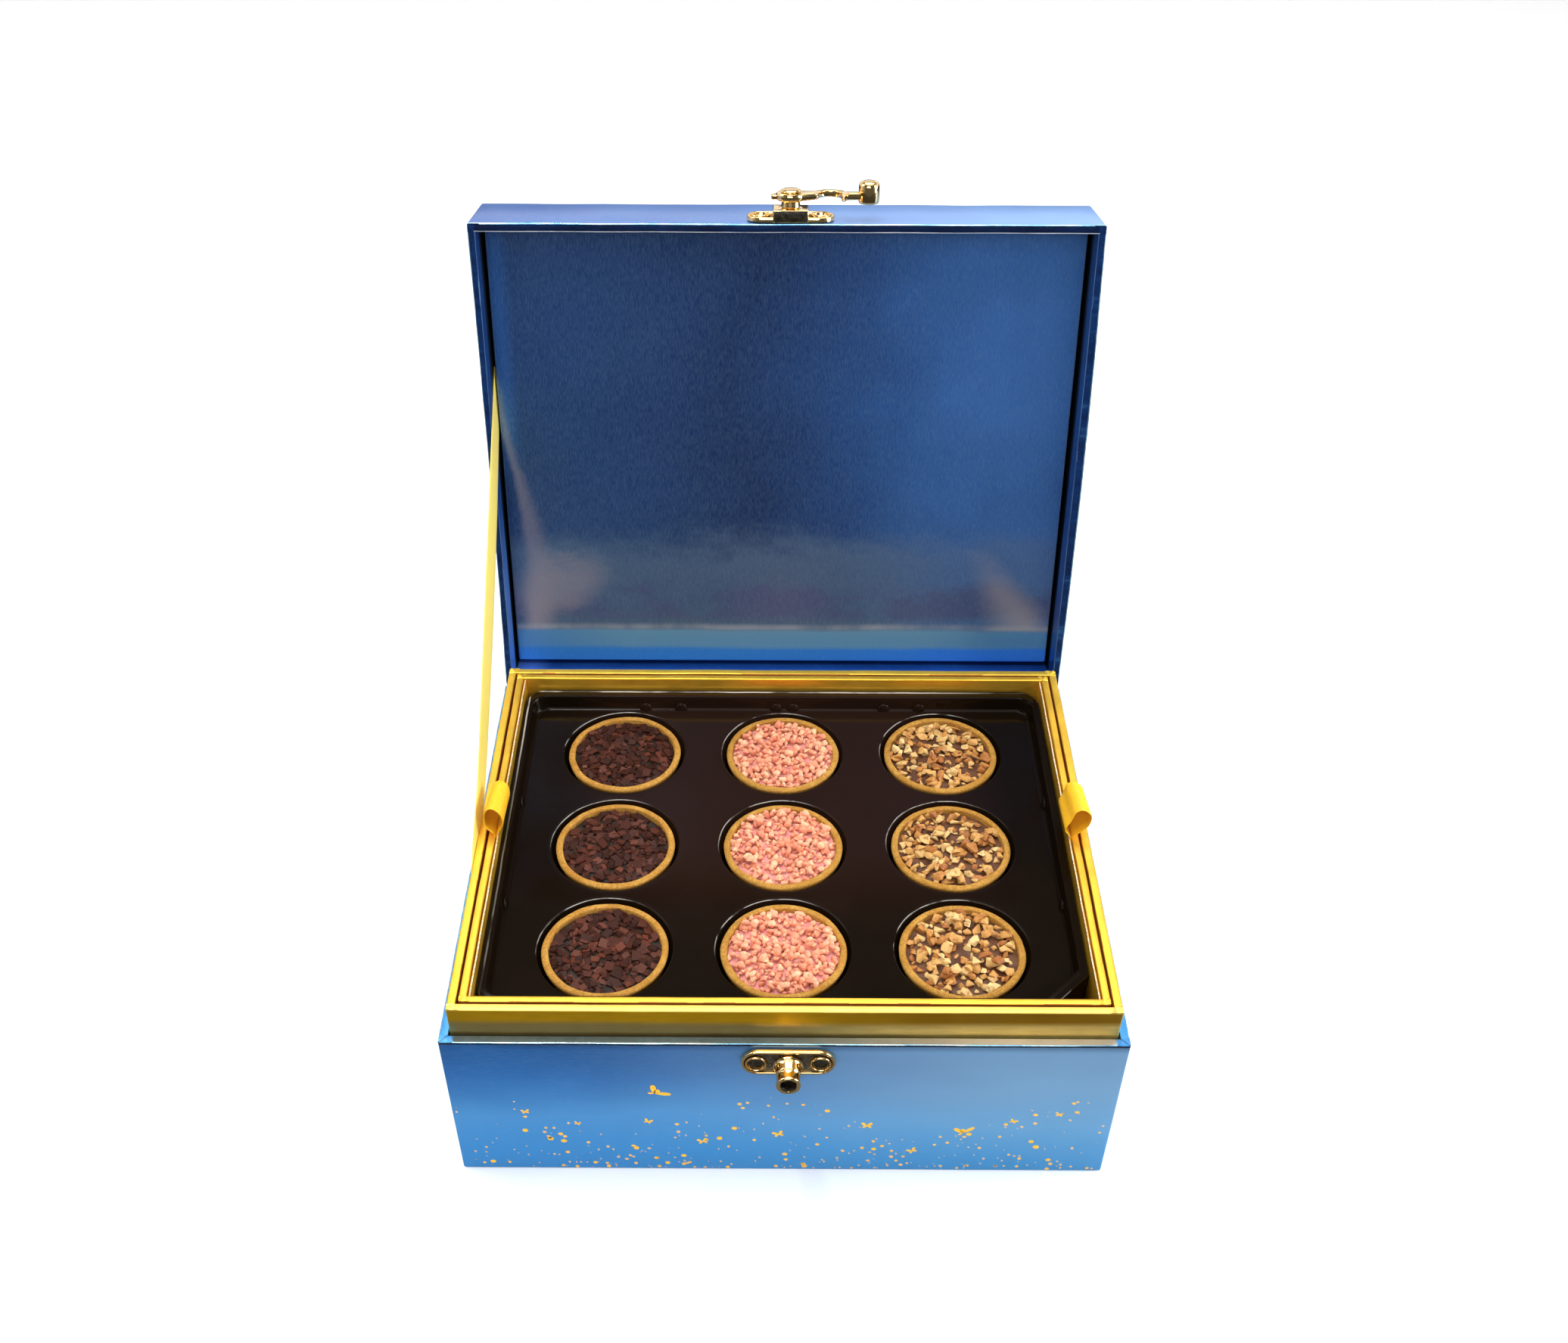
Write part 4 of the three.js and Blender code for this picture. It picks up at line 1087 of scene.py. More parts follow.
def filling_height(x, y, seed):
    """The cream's height over the tart's foot at a place in the tart."""
    out = math.hypot(x, y) / 20.6
    swell = 0.9 * (1 - out * out) - 0.25 * out**6
    return TART_HEIGHT - 2.0 + swell + 0.35 * noise.noise(Vector((x * 0.16 + seed, y * 0.16, seed)))


def tart_cream(cx, cy, seed):
    rings, segments = 16, 72
    after = [(k + 1) % segments for k in range(segments)]
    flat = [(0, 0)]
    for i in range(1, rings + 1):
        flat += circle(CREAM_RADIUS * i / rings, segments)
    verts = [(cx + x, cy + y, TART_BASE + filling_height(x, y, seed)) for x, y in flat]
    verts += [(cx + (x - cx) * 0.93, cy + (y - cy) * 0.93, z - 5) for x, y, z in verts[-segments:]]
    faces = [(0, 1 + k, 1 + m) for k, m in enumerate(after)]
    for a in range(1, 1 + rings * segments, segments):
        b = a + segments
        faces += [(a + k, b + k, b + m, a + m) for k, m in enumerate(after)]
    faces.append(tuple(range(len(verts) - segments, len(verts)))[::-1])
    return verts, faces


def flake_shape(rng, size):
    """A broken slab of chocolate with four or five uneven corners, chipped sides and a slight bend."""
    corners = 5 if rng.random() < 0.08 else 4
    aspect = rng.uniform(0.7, 1.0)
    ring = []
    for k in range(corners):
        angle = 2 * math.pi * (k + rng.uniform(-0.12, 0.12)) / corners + math.pi / 4
        radius = size * 0.66 * rng.uniform(0.84, 1.1)
        ring.append(Vector((radius * math.cos(angle), radius * aspect * math.sin(angle))))
    outline = []
    for k, here in enumerate(ring):
        after = ring[(k + 1) % corners]
        side = (after - here).normalized()
        outward = Vector((side.y, -side.x))
        outline += [here.lerp(ring[k - 1], 0.035), here.lerp(after, 0.035)]
        outline.append(here.lerp(after, rng.uniform(0.35, 0.65)) + outward * size * rng.uniform(-0.03, 0.02))
    thick = rng.uniform(0.55, 0.95)
    bend = rng.uniform(-0.10, 0.10)
    verts, faces = extrude([tuple(v) for v in outline], -thick / 2, thick / 2, 0.07, 1)
    return [(x, y, z + bend * (x * x - y * y) * 0.5) for x, y, z in verts], faces


def chip_library(seed, count, points, squash, edge, segments):
    """Broken pieces of about unit size: hulls of random points with softened edges."""
    rng = random.Random(seed)
    made = []
    for _ in range(count):
        work = bmesh.new()
        stretch = (1.0, rng.uniform(0.6, 0.95), squash * rng.uniform(0.75, 1.2))
        for _ in range(rng.randint(*points)):
            direction = Vector((rng.gauss(0, 1), rng.gauss(0, 1), rng.gauss(0, 1))).normalized()
            reach = rng.uniform(0.8, 1.08)
            work.verts.new([a * reach * b for a, b in zip(direction, stretch)])
        hull = bmesh.ops.convex_hull(work, input=work.verts)
        loose = {g for g in hull["geom_interior"] + hull["geom_unused"] if isinstance(g, bmesh.types.BMVert)}
        bmesh.ops.delete(work, geom=list(loose), context="VERTS")
        bmesh.ops.dissolve_limit(work, angle_limit=0.25, verts=work.verts, edges=work.edges)
        rounding = {"offset": edge, "offset_type": "OFFSET", "segments": segments, "profile": 0.6}
        bmesh.ops.bevel(work, geom=list(work.edges), affect="EDGES", clamp_overlap=True, **rounding)
        work.verts.index_update()
        place = Vector((rng.random() * 50, 0, 0))
        verts = [tuple(v.co * (1 + 0.10 * noise.noise(v.co * 1.8 + place))) for v in work.verts]
        made.append((verts, [tuple(v.index for v in f.verts) for f in work.faces]))
        work.free()
    return made


class Heap:
    """A filled tart on which pieces are laid one by one, each on what lies under it."""

    CELL = 0.45
    EXTENT = 22.0

    def __init__(self, seed):
        line = np.linspace(-self.EXTENT, self.EXTENT, int(2 * self.EXTENT / self.CELL) + 1)
        self.x, self.y = np.meshgrid(line, line, indexing="ij")
        self.height = np.array([[filling_height(x, y, seed) for y in line] for x in line])

    def lay(self, x, y, reach, most_tilt, sink, thick):
        """Lays a piece of that reach and thickness; gives its height and slopes."""
        near = (self.x - x) ** 2 + (self.y - y) ** 2 <= reach * reach
        dx, dy, z = self.x[near] - x, self.y[near] - y, self.height[near]
        fit = np.linalg.lstsq(np.c_[dx, dy, np.ones(len(z))], z, rcond=None)[0]
        slope = np.clip(fit[:2], -most_tilt, most_tilt)
        tilted = slope[0] * dx + slope[1] * dy
        over = np.quantile(z - tilted, 1 - sink)
        self.height[near] = np.maximum(z, over + tilted + thick)
        return over, slope


def scatter(rng, count, radius, spacing):
    """Places in a disc, evenly spread but uneven."""
    places = []
    most = count * 60
    tries = 0
    while len(places) < count and tries < most:
        tries += 1
        r, a = radius * math.sqrt(rng.random()), 2 * math.pi * rng.random()
        x, y = r * math.cos(a), r * math.sin(a)
        gap = spacing * (1 - 0.5 * tries / most)
        if all((x - u) ** 2 + (y - v) ** 2 > gap * gap for u, v in places):
            places.append((x, y))
    return places


CHIPS = {
    "crunch": chip_library(5, 46, (13, 18), 0.8, 0.14, 1),
    "nut": chip_library(6, 46, (8, 12), 0.55, 0.08, 2),
}
# How many pieces each layer has, how far apart they lie and how far out they go
LAYERS = {
    "flake": [(120, 2.1, 20.4), (90, 2.5, 20.2), (64, 3.1, 19.8)],
    "crunch": [(190, 1.8, 20.3), (120, 2.3, 20.0), (44, 3.6, 18.8)],
    "nut": [(84, 2.8, 19.8), (56, 3.4, 19.3), (24, 4.0, 18.6)],
}
SIZES = {
    "flake": (2.3, 3.0, 3.5, 3.9, 4.3),
    "crunch": (0.9, 1.25, 1.55, 1.85, 2.2),
    "nut": (1.3, 1.8, 2.1, 2.5, 2.9, 3.3),
}


def topping(kind, cx, cy, seed):
    """All the pieces of one tart's topping, and a tint for each vertex."""
    rng = random.Random(seed)
    heap = Heap(seed)
    parts, tints = [], []
    for count, spacing, radius in LAYERS[kind]:
        for x, y in scatter(rng, count, radius, spacing):
            size = rng.choice(SIZES[kind]) * rng.uniform(0.9, 1.1)
            if kind == "flake":
                part = flake_shape(rng, size)
                reach, thick, tilt, sink, lean = size * 0.5, 0.62, 0.5, 0.2, 0.20
            else:
                verts, faces = rng.choice(CHIPS[kind])
                part = [tuple(size * c for c in v) for v in verts], faces
                flat = 0.55 if kind == "nut" else 0.8
                reach, thick, tilt, sink, lean = size * 0.85, size * flat * 1.3, 0.32, 0.45, 0.18
            if math.hypot(x, y) + size * 0.30 > CREAM_RADIUS + 0.15:
                continue
            over, slope = heap.lay(x, y, max(reach, 0.7), tilt, sink, thick * 0.6)
            normal = Vector((-slope[0] + rng.gauss(0, lean), -slope[1] + rng.gauss(0, lean), 1)).normalized()
            turn = normal.to_track_quat("Z", "Y").to_matrix().to_4x4()
            spin = Matrix.Rotation(rng.random() * 2 * math.pi, 4, "Z")
            parts.append(placed(part, shift(cx + x, cy + y, TART_BASE + over + thick * 0.3) @ turn @ spin))
            tints += [rng.random()] * len(part[0])
    return joined(parts), tints


def tarts():
    kinds = {
        "left": ("flake", "flake_filling", FLAKE, FLAKE_CREAM, "cocoa_flakes", 30),
        "centre": ("crunch", "crunch_filling", PINK, PINK_CREAM, "pink_crunch", 50),
        "right": ("nut", "nut_filling", NUT, NUT_CREAM, "chopped_nuts", 40),
    }
    crusts, shell_nodes = [], []
    for c, (column, cx) in enumerate(COLUMNS):
        kind, node, material, cream_material, slot, smooth = kinds[column]
        creams, tops, tints = [], [], []
        for r, (row, cy) in enumerate(ROWS):
            seed = 17 * c + 5 * r + 3
            crusts.append(tart_crust(cx, cy, seed))
            shell_nodes.append(f"tart_shell_{row}_{column}")
            creams.append(tart_cream(cx, cy, seed))
            top, tint = topping(kind, cx, cy, seed)
            tops.append(top)
            tints += tint
        obj = add_piece(f"{kind}_creams", joined(creams), [cream_material], "base")
        stand_for(obj, slot, *(f"{node}_{row}" for row, _ in ROWS))
        obj = add_piece(f"{kind}_toppings", joined(tops), [material], "base", smooth=smooth, tint=tints)
    obj = add_piece("tart_crusts", joined(crusts), [CRUST], "base", smooth=60)
    stand_for(obj, "baked_crust", *shell_nodes)


tarts()


# The lid


def lid_shell():
    """The lid's shell: its top, four walls and rim."""
    half_x, half_y = LID_HALF_X, LID_DEPTH / 2
    low, high, wall = LID_RIM_GAP, LID_HEIGHT, LID_WALL
    points = [(3.0, high), (0, high), (0, low), (wall, low), (wall, high - wall), (wall + 2, high - wall)]
    profile = fillet(points, [0, 0.8, 0.42, 0.42, 0.4, 0], 4, closed=False)
    part = rect_sweep(half_x, half_y, 0.9, profile, 0.14, 14.0, caps=True, side=40)
    blue, edge, rim, inside, pale_edge, hairline = range(6)

    def choose(x, y, h):
        out = max(abs(x) - half_x, abs(y) - half_y)
        at_rim = h < low + 0.36
        # The rim's outer edge takes the painted highlight.
        if at_rim and out > -EDGE_HIGHLIGHT_WIDTH:
            return edge
        if at_rim and out < -wall + 0.4 and y < -half_y + wall + 0.5:
            return pale_edge
        if at_rim and -wall - 0.1 < out < -wall + 0.3:
            return hairline
        if h < low + 0.4:
            return rim
        return inside if out < -wall + 0.3 else blue

    mats = pick_faces(part, choose)
    bowed = []
    for x, y, h in part[0]:
        swell = math.sin(math.pi * min(1.0, max(0.0, 0.5 - y / LID_DEPTH)))
        share = min(1.0, max(0.0, abs(x) - half_x + wall + 1.0) / (wall + 1.0))
        bow = (1.1 if x > 0 else 0.5) * swell * share
        inner = -half_y + wall - 0.6 < y < -half_y + wall + 0.6 and abs(x) < half_x - wall + 0.6
        thicker = 0.5 if inner and h < high - wall else 0.0
        bowed.append((x + bow, y + thicker, h))
    shell = placed((bowed, part[1]), HINGE @ shift(0, -half_y, 0))
    shades = [LID_BLUE, EDGE, RIM_BLUE, SIDE_BLUE, EDGE_PALE, HAIRLINE]
    stand_for(add_piece("lid_board", shell, shades, "lid", mats), "blue_foil_board", "lid_shell")


def lid_panel():
    """The panel inside the lid: a hollow board whose face sags a little."""
    half_x = LID_HALF_X - LID_WALL - 1.1
    front, back = LID_DEPTH - LID_WALL - 1.0, LID_WALL + 2.1
    half_y, middle = (front - back) / 2, (front + back) / 2
    face, top, board = PANEL_INSET, LID_HEIGHT - LID_WALL - 0.3, 2.6
    points = [(board, top), (0, top), (0, face), (6, face)]
    profile = fillet(points, [0, 0, 0.7, 0], 5, closed=False)
    profile += [(inset, face) for inset in (12, 24, 36, 50, 66, 80)]
    loops = []
    for inset, height in profile:
        loop = []
        for x, y in rounded_rect(half_x - inset, half_y - inset, 0.9 - inset, side=48, corner=4):
            sag = 0.22 * noise.noise(Vector((x * 0.012, y * 0.012, 2))) if inset > 0.7 else 0
            loop.append((x, y - middle, height + sag))
        loops.append(loop)
    panel = placed(sweep(loops, caps=True), HINGE)
    obj = add_piece("lid_inner_panel", panel, [PANEL_BLUE], "lid", smooth=30)
    stand_for(obj, "navy_foil_board", "lid_panel")


lid_shell()
lid_panel()
turned_over = HINGE @ shift(0, -LID_DEPTH / 2, LID_RIM_GAP) @ turn_x(math.pi)
lid_rim = (LID_HALF_X, LID_DEPTH / 2, LID_WALL, 0.0)
folds("lid_corner_folds", lid_rim, RIM_BLUE, "lid", 4.2, 41, turned_over, 0.12)


def hinge_paper():
    """The covering paper that runs over the hinge line outside, from the base's back wall to the lid's."""
    steps, reach, proud, half_thick = 14, 9.0, 0.16, 0.06
    sin, cos = math.sin(LID_OPEN), math.cos(LID_OPEN)
    path = [(BOX_HALF_Y + proud, BASE_HEIGHT - reach * (1 - k / steps), 1, 0) for k in range(steps + 1)]
    for k in range(1, steps + 1):
        h = reach * k / steps
        path.append((BOX_HALF_Y + proud * cos + h * sin, BASE_HEIGHT - proud * sin + h * cos, cos, -sin))
    half_x = LID_HALF_X - 0.6
    line = [x for (x,) in straight((-half_x,), (half_x,), 14)]
    loops = []
    for y, z, out_y, out_z in path:
        dy, dz = out_y * half_thick, out_z * half_thick
        loops.append([(x, y + dy, z + dz) for x in line] + [(x, y - dy, z - dz) for x in reversed(line)])
    obj = add_piece("hinge_paper_outer", sweep(loops, caps=True), [LID_BLUE], None)
    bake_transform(obj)


hinge_paper()


# The ribbons


def band(centre, across, width, thickness, body, name, material):
    """A ribbon along centre points; `across` gives the direction of its width at each."""
    hem = 1.06
    section = [(-1, -0.5), (-0.97, -1), (-0.5, -1), (0, -1), (0.5, -1), (0.97, -1), (1, -0.5)]
    section += [(u, -v) for u, v in section[::-1]]
    points = [Vector(point) for point in centre]
    loops = []
    for i, here in enumerate(points):
        along = (points[min(i + 1, len(points) - 1)] - points[max(i - 1, 0)]).normalized()
        wide = Vector(across[i]).normalized()
        normal = along.cross(wide).normalized()
        loop = []
        for u, v in section:
            swell = hem if abs(u) > 0.9 else 1
            loop.append(tuple(here + wide * (u * width / 2) + normal * (v * thickness / 2 * swell)))
        loops.append(loop)
    return add_piece(name, sweep(loops, caps=True), [material], body, smooth=60)


def ribbon_stay():
    """The stay on the left: from between neck and base wall up to the gap beside the lid's panel."""
    tuck_base, tuck_lid, most_sag, steps = 22, 13, 3.0, 60
    lid_place = HINGE @ Vector((0, -120, PANEL_INSET))
    lid_end = Vector((lid_place.y, lid_place.z))
    base_end = Vector((-11.0, NECK_TOP))
    along = lid_end - base_end
    length = along.length
    along.normalize()
    across = Vector((-along.y, along.x))
    x = -NECK_HALF_X - 0.25
    centre, wide = [], []
    for i in range(steps + 1):
        reach = -tuck_base + (length + tuck_base + tuck_lid) * i / steps
        free = min(max(reach / length, 0), 1)
        place = base_end + along * reach - across * (4 * most_sag * free * (1 - free))
        lean = 0.75 * min(1.0, max(0.0, reach / tuck_base)) * (1 - free)
        twist = -0.07 * math.sin(math.pi * free)
        centre.append((x + lean, place.x, place.y))
        wide.append((math.sin(twist), across.x * math.cos(twist), across.y * math.cos(twist)))
    obj = band(centre, wide, 15.0, 0.28, None, "ribbon_lid_stay", RIBBON)
    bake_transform(obj)
    stand_for(obj, "satin_ribbon", "ribbon_stay")


def smooth_path(points, count):
    """A smooth curve through points, evenly sampled by span."""
    pts = [Vector(p) for p in points]
    pts = [pts[0] * 2 - pts[1]] + pts + [pts[-1] * 2 - pts[-2]]
    spans = len(pts) - 3
    made = []
    for k in range(count + 1):
        s = min(spans - 1e-9, spans * k / count)
        i = int(s)
        t = s - i
        a, b, c, d = pts[i : i + 4]
        curve = 2 * b + (c - a) * t + (2 * a - 5 * b + 4 * c - d) * t * t + (3 * b - a - 3 * c + d) * t**3
        made.append(0.5 * curve)
    return made


def pull_loop(side, node, height, swing, lean, near):
    """A ribbon loop that stands out of the slit beside a liner."""
    slit = side * (TRAY_HALF_X - TRAY_WALL - 0.25)
    drop = 13.0
    outline = [
        (-0.10, -drop),
        (-0.10, -1),
        (-0.46 * swing + near, 0.28 * height),
        (-0.50 * swing + lean + near, 0.62 * height),
        (-0.28 * swing + lean + near * 0.4, 0.93 * height),
        (0.08 * swing + lean, 1.0 * height),
        (0.44 * swing + lean, 0.80 * height),
        (0.50 * swing + lean * 0.6, 0.45 * height),
        (0.24 * swing, 0.15 * height),
        (0.20, -1),
        (0.12, -drop),
    ]
    centre, wide = [], []
    for x, z in smooth_path(outline, 90):
        free = min(max(z / height, 0), 1)
        turn = 0.10 * free * side
        centre.append((slit + x, 0.6 * free, NECK_TOP + z))
        wide.append((-math.sin(turn), math.cos(turn), 0))
    obj = band(centre, wide, 16.0, 0.30, "base", f"{node}_ribbon", LOOP_RIBBON)
    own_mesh(obj)
    stand_for(obj, "satin_ribbon", node)


ribbon_stay()
pull_loop(-1, "pull_loop_left", 13.0, 6.9, 0.1, 0.0)
pull_loop(1, "pull_loop_right", 13.8, 8.9, 1.7, 1.2)


# The latch; its pieces are made in the latch's frame on a front wall


def latch_piece(name, node, part, materials, body, is_dark=None, smooth=50):
    """A gold piece, with the faces that `is_dark` says in its second material."""
    frame_of = {"base": BASE_LATCH, "lid": LID_LATCH, "hook": LID_LATCH}
    mats = pick_faces(part, is_dark) if is_dark else None
    obj = add_piece(name, placed(part, frame_of[body]), materials, body, mats, smooth)
    stand_for(obj, "polished_gold", node)


def latch_plate(body):
    """A plate with round ends, a raised border and a sunk face."""
    length, height, rise, border = 33, 12.4, 0.2, 10.5
    radius = height / 2
    straight_half = length / 2 - radius
    right = arc(straight_half, rise, radius, -QUARTER, QUARTER, 16)
    outline = right + arc(-straight_half, rise, radius, QUARTER, 3 * QUARTER, 16)
    stages = [(0.30, 0.3), (0.0, 0.55), (0.0, 1.85), (0.12, 2.1), (0.35, 2.2)]
    stages += [(0.75, 2.2), (0.95, 2.1), (1.05, 1.85), (1.1, 1.15), (1.5, 1.1)]
    loops = []
    for inset, h in stages:
        loop = []
        for x, y in outline:
            cx = max(-border, min(border, x))
            out = Vector((x - cx, y - rise))
            out = out.normalized() * (out.length - inset)
            loop.append((cx + out.x, out.y + rise, h))
        loops.append(loop)
    part = sweep(loops, caps=True)
    name = f"latch_plate_{body}"
    latch_piece(name + "_metal", name, part, [METAL, DISH], body, lambda x, y, h: 1.05 < h < 1.16)


def rivet(body, word, sign):
    """A hollow rivet: a rolled gold ring round a pit painted dark as shade."""
    low = 1.2
    ring = [(3.4, 0), (3.72, 0.3), (3.82, 0.8), (3.76, 1.2), (3.5, 1.42), (3.25, 1.38)]
    ring += [(3.08, 1.1), (3.02, 0.6), (2.9, 0.15), (2.6, 0.02), (0, 0)]
    part = placed(lathe([(radius, low + h) for radius, h in ring], 48), shift(sign * 11.3, 0, 0))
    name = f"rivet_{body}_{word}"
    latch_piece(name + "_metal", name, part, [METAL, PIT_SHADE], body, lambda x, y, h: h < low + 0.12)


def stud():
    """The base's turned stud with a hexagonal hole in its head."""
    count, sides, hole, mouth = 60, 6, 2.75, 3.45
    profile = [(0, 1.3), (4.2, 1.3), (4.2, 2.4), (5.1, 2.45), (5.3, 2.7), (5.3, 3.2), (5.0, 3.5), (4.75, 3.9)]
    profile += [(4.55, 5.0), (4.45, 6.9), (4.36, 7.3), (4.08, 7.6), (4.04, 7.9), (4.04, 9.9), (4.1, 10.2)]
    profile += [(4.36, 10.5), (4.42, 11.0), (4.36, 11.4), (4.1, 11.75), (3.7, 11.85), (mouth, 11.75)]
    verts, faces = lathe(profile, count)
    for share, depth in ((0.55, 11.5), (1.0, 10.9), (1.0, 8.9)):
        start = len(verts)
        for k in range(count):
            angle = 2 * math.pi * k / count
            within = (angle + math.pi / 6) % (2 * math.pi / sides) - math.pi / sides
            hexagon = hole * math.cos(math.pi / sides) / math.cos(within)
            radius = mouth + (hexagon - mouth) * share
            verts.append((radius * math.cos(angle), radius * math.sin(angle), depth))
        for k in range(count):
            m = (k + 1) % count
            faces.append((start - count + k, start - count + m, start + m, start + k))
    faces.append(tuple(range(len(verts) - count, len(verts))))

    # The hexagonal hole is painted dark as shade.
    def in_hole(x, y, h):
        return math.hypot(x, y) < 3.0 and h > 8

    latch_piece("latch_stud_metal", "latch_stud", (verts, faces), [METAL, PIT_SHADE], "base", in_hole, 40)


def post():
    """The lid's post on its square block, whose lower face is painted dark as shade."""
    corners = [(-6.7, -6.3), (6.7, -6.3), (6.7, 4.9), (-6.7, 4.9)]
    block = extrude(fillet(corners, [0.6] * 4, 3), 0.4, 4.8, 0.35, 3)
    profile = [(0, 4.0), (4.4, 4.0), (4.5, 4.8), (3.6, 5.2), (3.4, 6.9), (4.1, 7.4), (2.5, 7.4), (2.5, 10.45)]
    profile += [(3.7, 10.45), (3.85, 10.7), (3.6, 11.1), (2.8, 11.45), (1.6, 11.65), (0, 11.7)]
    part = joined([block, lathe(profile, 48)])

    def is_lower_face(x, y, h):
        return y < -6.2 and 0.6 < h < 4.6 and abs(x) < 6.2

    latch_piece("latch_post_metal", "latch_post", part, [METAL, PIT_SHADE], "lid", is_lower_face)


def hook():
    """The swing arm: round boss with a tab, slim curved arm, bite with its finger, and the knob."""
    bite, reach, outer, knob_x = 14.7, 4.15, 6.4, 29.2
    low, high = 7.7, 10.2
    tip = bite + reach
    outline = arc(0, 0, 5.3, 0.9, 2 * math.pi - 0.9, 40)
    outline += [(bite - reach - 2.2, -1.7), (bite - reach - 0.9, -1.35)]
    outline += arc(bite, 0, reach, math.pi, 0, 22)
    outline += [(tip, -2.6), (tip + 0.05, -4.6), (tip + 0.8, -5.4), (tip + 1.6, -4.6), (tip + 2.3, -2.3)]
    outline += [(tip + 3.6, -1.9), (knob_x, -1.8), (knob_x, 1.8), (24.5, 1.9)]
    outline += arc(bite, 0, outer, 0.36, 2.35, 22)
    outline += [(bite - outer * 0.86, 3.7), (5.2, 3.2)]
    arm = extrude(outline, low, high, 0.55, 4)
    boss_profile = [(2.6, low - 0.05), (5.2, low - 0.05), (5.55, low + 0.4)]
    boss_profile += [(5.6, high - 0.5), (5.2, high + 0.05), (2.6, high + 0.1)]
    knob_profile = [(0, 6.3), (3.3, 6.3), (3.75, 6.6), (3.9, 7.2), (3.9, 12.4)]
    knob_profile += [(3.75, 13.2), (3.3, 13.9), (2.4, 14.35), (1.2, 14.5), (0, 14.5)]
    knob = placed(lathe(knob_profile, 48), shift(knob_x, 0, 0))
    corners = [(-7.3, -1.5), (-4.5, -1.8), (-4.5, 1.8), (-7.3, 1.5)]
    tab = extrude(fillet(corners, [0.8, 0, 0, 0.8], 4), 7.8, 9.5, 0.4, 3)
    part = joined([arm, lathe(boss_profile, 48), tab, knob])
    latch_piece("latch_hook_metal", "latch_hook", part, [METAL], "hook")


latch_plate("base")
latch_plate("lid")
for word, sign in (("left", -1), ("right", 1)):
    rivet("base", word, sign)
    rivet("lid", word, sign)
stud()
post()
hook()


# The print


def blot(x, z, size, squash, turn):
    ring = [2 * math.pi * k / 12 + turn for k in range(12)]
    return [(x + size * math.cos(a), z + size * squash * math.sin(a)) for a in ring]


def lobe(x, z, size, turn, angle, long, wide, base, sign=1):
    """One wing of a butterfly: a drop whose narrow end is at the body."""
    made = []
    for k in range(14):
        t = 2 * math.pi * k / 14
        u = long * (0.5 + 0.5 * math.cos(t))
        v = wide * 0.5 * math.sin(t) * (base + (1 - base) * u / long)
        a = sign * (u * math.cos(angle) - v * math.sin(angle))
        b = u * math.sin(angle) + v * math.cos(angle)
        over = a * math.cos(turn) - b * math.sin(turn)
        up = a * math.sin(turn) + b * math.cos(turn)
        made.append((x + size * over, z + size * up))
    return made[::sign]


def butterfly(x, z, size, turn):
    """A plain butterfly: two upper and two lower wings as simple lobes."""
    wings = ((0.75, 1.0, 0.62), (-0.45, 0.68, 0.5))
    return [lobe(x, z, size, turn, *wing, 0.35, sign) for sign in (-1, 1) for wing in wings]


def side_butterfly(x, z, size, turn):
    """A plain butterfly seen from its side: a raised wing, a lying one and a slim tail."""
    wings = ((1.9, 0.75, 0.42), (0.15, 0.95, 0.36), (1.05, 0.42, 0.40), (-2.9, 0.35, 0.20))
    return [lobe(x, z, size, turn, *wing, 0.45) for wing in wings]


def print_side(width, seed, count, butterflies):
    """Dots and butterflies for one wall: outlines in the wall's plane, denser towards its foot."""
    rng = random.Random(seed)
    marks = []
    for _ in range(count):
        x = rng.uniform(-width + 1.5, width - 1.5)
        z = 1.2 + 44 * rng.random() ** 1.55 * (0.75 + 0.25 * math.sin(x * 0.06 + seed))
        size = rng.choice((0.2, 0.26, 0.32, 0.42, 0.55, 0.72)) * rng.uniform(0.8, 1.15)
        if rng.random() < 0.06:
            size = rng.uniform(0.8, 1.25)
        gold = min(1.0, max(0.0, 0.15 + size * 0.8 + rng.gauss(0, 0.12)))
        marks.append((blot(x, z, size, rng.uniform(0.75, 1), rng.random() * 6), gold))
    lobes = []
    for k in range(butterflies):
        x = (width - 8) * (2 * (k + rng.uniform(0.1, 0.9)) / butterflies - 1)
        z = rng.uniform(10, 38)
        lobes += butterfly(x, z, rng.uniform(1.5, 2.7), rng.uniform(-0.7, 0.7))
    lobes += side_butterfly(-0.385 * width, 47, 6.4, -0.25)
    lobes += side_butterfly(0.55 * width, 24, 5.6, 0.55)
    return marks + [(outline, 1.0) for outline in lobes]


def prints():
    verts, faces, tint = [], [], []
    proud, sunk = 0.05, -0.1
    sides = [
        (BOX_HALF_X, 71, 300, 9, lambda u, w, d: (u, -BOX_HALF_Y - d, w)),
        (BOX_HALF_Y, 72, 230, 6, lambda u, w, d: (BOX_HALF_X + d, u, w)),
        (BOX_HALF_X, 73, 280, 7, lambda u, w, d: (-u, BOX_HALF_Y + d, w)),
        (BOX_HALF_Y, 74, 230, 6, lambda u, w, d: (-BOX_HALF_X - d, -u, w)),
    ]
    for width, seed, count, flies, place in sides:
        for outline, gold in print_side(width, seed, count, flies):
            start = len(verts)
            n = len(outline)
            verts += [place(u, w, depth) for depth in (proud, sunk) for u, w in outline]
            faces.append(tuple(range(start, start + n)))
            faces.append(tuple(range(start + 2 * n - 1, start + n - 1, -1)))
            for k in range(n):
                m = (k + 1) % n
                faces.append((start + k, start + n + k, start + n + m, start + m))
            tint += [gold] * (2 * n)
    obj = add_piece("printed_dots_and_butterflies", (verts, faces), [INK], "base", tint=tint)


prints()


# Floor, light and camera


